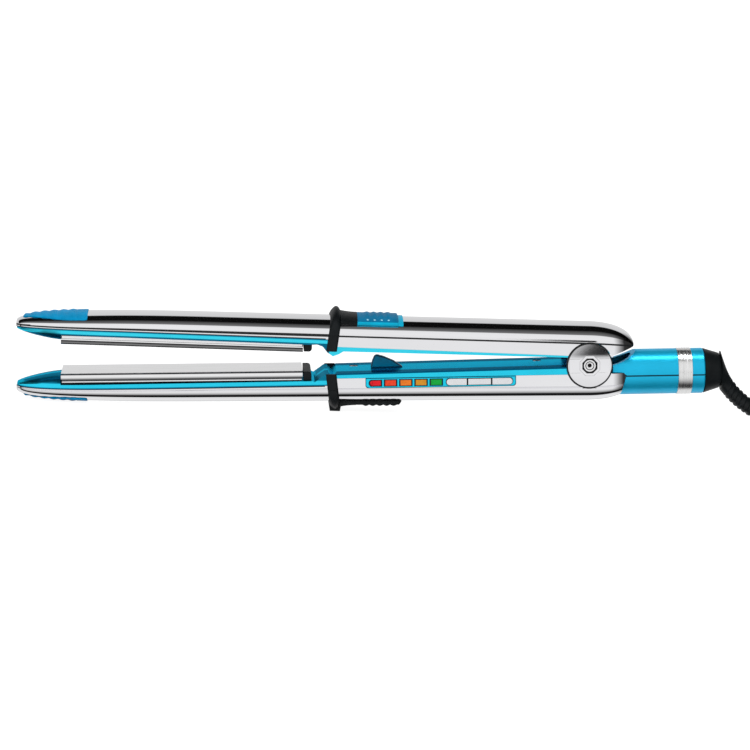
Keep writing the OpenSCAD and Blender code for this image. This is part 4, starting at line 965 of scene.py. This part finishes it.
material("turned_screw", on=["hinge_screws"], marks=turned_head, low=True,
         **dict(CAST, rough=0.18, vary=0.06, scale=500, bump=0.08, bump_scale=2500))
material("brushed_steel", (0.82, 0.82, 0.82), 0.27, 1.0, on=["barrel_ring"], vary=0.1, rough_vary=0.1, scale=900,
         stretch=(1, 0.08, 0.08), bump=0.15, bump_scale=3500, dist=0.00003)
material("screw_steel", (0.42, 0.42, 0.43), 0.3, 1.0, vary=0.15, rough_vary=0.1, scale=500, bump=0.15,
         bump_scale=2500, on=["hinge_pin", "hinge_spring", "lower_liner_screws", "upper_liner_screws"])
material("silver_keys", (0.8, 0.81, 0.83), 0.2, 0.85, on=["power_button", "plus_button", "minus_button"], vary=0.03,
         rough_vary=0.05, scale=120, bump=0.05, bump_scale=1800)
material("fin_blue", (0.001, 0.25, 0.43), 0.3, on=["alignment_fin"], vary=0.2, rough_vary=0.05, scale=120, bump=0.05,
         spec=0.1)
material("ceramic_white", (0.85, 0.83, 0.76), 0.55, on=["upper_heater", "lower_heater"], vary=0.05, scale=300,
         bump=0.2)
material("sensor_bead", (0.55, 0.26, 0.08), 0.3, on=["upper_sensor", "lower_sensor"], vary=0.15, scale=600, coat=0.4)
material("silicone_foam", (0.6, 0.17, 0.09), 0.75, on=["upper_cushions", "lower_cushions"], vary=0.2, scale=700,
         bump=0.6, bump_scale=1800, dist=0.0001)
material("board_green", (0.01, 0.16, 0.06), 0.35, on=["circuit_board"], vary=0.2, scale=400, coat=0.3, bump=0.1)
material("led_resin", (0.85, 0.85, 0.78), 0.2, on=["lamp_leds"], vary=0.05, scale=700, coat=0.4)
material("switch_black", (0.03, 0.03, 0.032), 0.5, on=["button_switches"], vary=0.2, scale=500, bump=0.1)
material("brass", (0.7, 0.5, 0.2), 0.25, 1.0, on=["contact_brushes", "slip_rings", "plug_blades"], vary=0.08,
         rough_vary=0.1, scale=500, bump=0.1)
material("wire_red", (0.5, 0.03, 0.03), 0.5, on=["power_wires"], vary=0.15, scale=500, bump=0.1)
for color, base in (("red", (0.72, 0.012, 0.02)), ("scarlet", (0.8, 0.055, 0.018)), ("orange", (0.8, 0.19, 0.018)),
                    ("amber", (0.62, 0.26, 0.02)), ("green", (0.005, 0.36, 0.045))):
    material("lens_" + color, base, 0.2, on=["lamp_" + color], rough_vary=0.04, scale=500, spec=0.12, coat=0.04,
             coat_rough=0.05, glow=0.14, bump=0.15, bump_scale=900, dist=0.00006)

for obj, finish, slot in (
        (cord_obj, "cord_black", "cord_black"), (sleeve_obj, "cone_black", "black_rubber"),
        (tie_obj, "woven_tie", "tie_strap"), (plug_obj, "plug_black", "cord_black"),
        (upper_grip, "blue_rubber", "blue_rubber"), (lower_grip, "blue_rubber", "blue_rubber"),
        (rest_top, "black_rubber", "black_rubber"), (rest_low, "black_rubber", "black_rubber"),
        (rest_pad, "blue_rubber_painted_shade", "blue_rubber")):
    dress(obj, finish)


def bench(p, low):
    """From the row frame back to (u, w), in millimetres."""
    x, z = p.x * 1000 - HX, p.z * 1000 - HZ
    if not low:
        return -x, z
    return -x * COS - z * SIN, x * SIN - z * COS


# The chrome shells: painted shade, near black faces in the upper one's groove and along both rims ahead of the band
for obj, low in ((upper_shell, False), (lower_shell, True)):
    dress(obj, "chrome")
    obj.data.materials.append(M["painted_shade_black"])
    for poly in obj.data.polygons:
        u, w = bench(poly.center, low)
        y, mid = abs(poly.center.y * 1000), crease_at(u)
        deep, rim = line_sizes(u)
        in_line = mid - deep < w < mid + (0.45 if u > BAND_U else 0.01)
        groove = in_line and y > half_at(u) - 0.9 and (y < half_at(u) - 0.2 or w > mid)
        edge = u > BAND_U + 3 and w < part_at(u) + rim * 0.9 and y > half_at(u) - 0.7
        poly.material_index = 1 if groove and not low or edge else 0


def rounded(names, width, segments=2, edge=None, clamp=True):
    """Small rounds, width in millimetres, on the CAD pieces' edges, and even light over their facets."""
    for name in names:
        obj = nodes[name]
        if edge:
            obj.data.materials.append(M[edge])
        mod = obj.modifiers.new("weld", "WELD")
        mod.merge_threshold = 0.00001
        mod = obj.modifiers.new("edge", "BEVEL")
        mod.width, mod.segments = width / 1000, segments
        mod.limit_method, mod.angle_limit = "ANGLE", radians(32)
        mod.use_clamp_overlap = clamp
        if edge:
            mod.material = 1
        mod = obj.modifiers.new("even", "WEIGHTED_NORMAL")
        mod.weight = 80


for o in nodes.values():
    if o.type == "MESH" and not o.hide_render:
        o.data.shade_smooth()
        o.data.set_sharp_from_angle(angle=radians(30))
# The rounds on the lenses, keys, bezel and fin take a dark material: painted shade round their edges
rounded(["lamp_red", "lamp_scarlet", "lamp_orange", "lamp_amber", "lamp_green"], 0.4, edge="painted_shade_black", clamp=False)
rounded(["power_button", "plus_button", "minus_button"], 0.4, edge="painted_shade_black")
rounded(["control_bezel"], 0.25, edge="painted_shade_blue", clamp=False)
rounded(["lower_liner", "upper_liner"], 0.3)
rounded(["upper_plate", "lower_plate", "upper_plate_stop", "lower_plate_stop"], 0.3, 3)
rounded(["alignment_fin"], 0.9, 3, edge="painted_shade_blue")
rounded(["barrel_ring", "swivel_cone"], 0.12)
rounded(["barrel_upper", "barrel_lower"], 0.3)

# Painted light: the pad's lower edge is a smoother band in a lighter copy of the blue, and its top keeps a darker
# copy, painted shade
rest_pad.data.materials.append(M["blue_rubber_painted_light"])
for poly in rest_pad.data.polygons:
    u, w = bench(poly.center, False)
    top, mid = top_at(u), crease_at(u)
    poly.material_index = 1 if (w - mid) / (top + UPPER_PAD_T - mid) < 0.74 or u < PAD_END + 2.5 else 0


def pad_dots():
    """Four pale dots on each side of the upper pad."""
    dots = []
    for side in (-1, 1):
        for i in range(4):
            u, a = PAD_U0 - PAD_SMOOTH - PAD_PITCH * (i + 0.5), radians(54)
            mid, h, top = crease_at(u), half_at(u) + UPPER_PAD_T, top_at(u) + UPPER_PAD_T
            y, w = -h * spow(cos(a), 1 / DOME_N), mid + (top - mid) * spow(sin(a), 1 / DOME_N)
            rings = []
            for r, lift in ((0.02, 0.2), (0.3, 0.18), (0.5, 0.1), (0.6, -0.05), (0.6, -0.4)):
                ring = []
                for k in range(16):
                    t = 2 * pi * k / 16
                    du, dv = r * cos(t) * 1.05, r * sin(t)
                    # lift goes out along the dome's slope there, and dv down it
                    ring.append(upper(u + du, side * (-y + 0.62 * lift - 0.78 * dv), w + 0.78 * lift + 0.62 * dv))
                rings.append(ring)
            dots.append(loft(rings))
    obj = mesh_piece("upper_pad_dots", *join(*dots), "upper_arm")
    dress(obj, "pale_blue_dots")


pad_dots()


# ---- hinge caps: a shallow dish, a flat band across it, an eight-sided boss and a recess for the screw ----
# Radii, and distances from the arm's middle plane: the bore, where the cap starts, and the boss's top
CAP_BORE_R, CAP_IN, CAP_TOP = 3.6, 12.6, 15.4
DISH_R, DISH_INNER_R, DISH_Y = 11.5, 4.6, 14.5
BAND_LOW, BAND_HIGH, BAND_R, BOSS_R = -3.7, 3.8, 11.45, 5.8
CAP_N = 128


def hinge_cap(name, side, node):
    def at(u, w, out):
        return lower(u, side * out, w)

    def ring(r, y, eight_sided=False):
        """A ring of radius r at y, which may follow the place."""
        out = []
        for k in range(CAP_N):
            a = 2 * pi * k / CAP_N
            off = (a + pi / 8) % (pi / 4) - pi / 8
            rr = r * cos(pi / 8) / cos(off) if eight_sided else r
            u, w = rr * cos(a), rr * sin(a)
            out.append(at(u, w, y(u, w) if callable(y) else y))
        return out

    def dish(u, w):
        # Hardly curved along the arm
        return DISH_Y + (DISH_R**2 - w * w - 0.03 * u * u) / 200

    rim = ((CAP_BORE_R, CAP_IN), (CAP_R, CAP_IN), (CAP_R, 14.6), (12.08, 14.78), (11.85, 14.86), (11.62, 14.78),
           (DISH_R, 14.7))
    rings = [ring(r, y) for r, y in rim]
    rings += [ring(DISH_INNER_R + (DISH_R - DISH_INNER_R) * i / 12, dish) for i in range(12, -1, -1)]
    rings.append(ring(CAP_BORE_R, CAP_IN))
    parts = [loft(rings, closed_ends=False)]
    # Two flat wings of the band, from the boss to the rim
    for end in (-1, 1):
        wing = []
        for lift, grow in ((14.2, 0.0), (CAP_TOP - 0.22, 0.0), (CAP_TOP - 0.14, -0.09)):
            pts = []
            for w in (BAND_LOW - grow, BAND_HIGH + grow):
                edge = sqrt(BAND_R**2 - w * w) + grow
                pts += [(5.0, w), (edge, w)] if w < 0 else [(edge, w), (5.0, w)]
            arc = []
            for (u0, w0), (u1, w1) in zip(pts, pts[1:] + pts[:1]):
                for t in range(8):
                    uu, ww = u0 + (u1 - u0) * t / 8, w0 + (w1 - w0) * t / 8
                    if abs(u0 - u1) < 1e-6 and u0 > 6:
                        uu = sqrt(max(0.0, (BAND_R + grow) ** 2 - ww * ww))
                    arc.append(at(end * uu, ww, lift))
            wing.append(arc)
        parts.append(loft(wing))
    # Eight-sided boss, open in the middle for the screw
    outer = ((BOSS_R, 14.2), (BOSS_R, CAP_TOP - 0.1), (5.68, CAP_TOP), (4.35, CAP_TOP))
    recess = ((4.2, CAP_TOP - 0.1), (3.95, CAP_TOP - 0.6), (3.6, CAP_TOP - 0.6), (3.5, CAP_TOP - 1.2), (3.5, 14.2))
    boss = [ring(r, y, True) for r, y in outer] + [ring(r, y) for r, y in recess] + [ring(*outer[0], True)]
    parts.append(loft(boss, closed_ends=False))
    obj = mesh_piece(name, *join(*parts), "lower_arm", [node], 24)
    dress(obj, "chrome")
    # Painted shade, near black, in the screw's recess and on the rim round the dish
    obj.data.materials.append(M["painted_shade_black"])
    for poly in obj.data.polygons:
        u, w = bench(poly.center, True)
        r, y = hypot(u, w), abs(poly.center.y * 1000)
        poly.material_index = 1 if 3.4 < r < 4.15 and y < CAP_TOP - 0.2 or r > 11.55 else 0


hinge_cap("front_cap_disc", -1, "front_hinge_cap")
hinge_cap("back_cap_disc", 1, "back_hinge_cap")
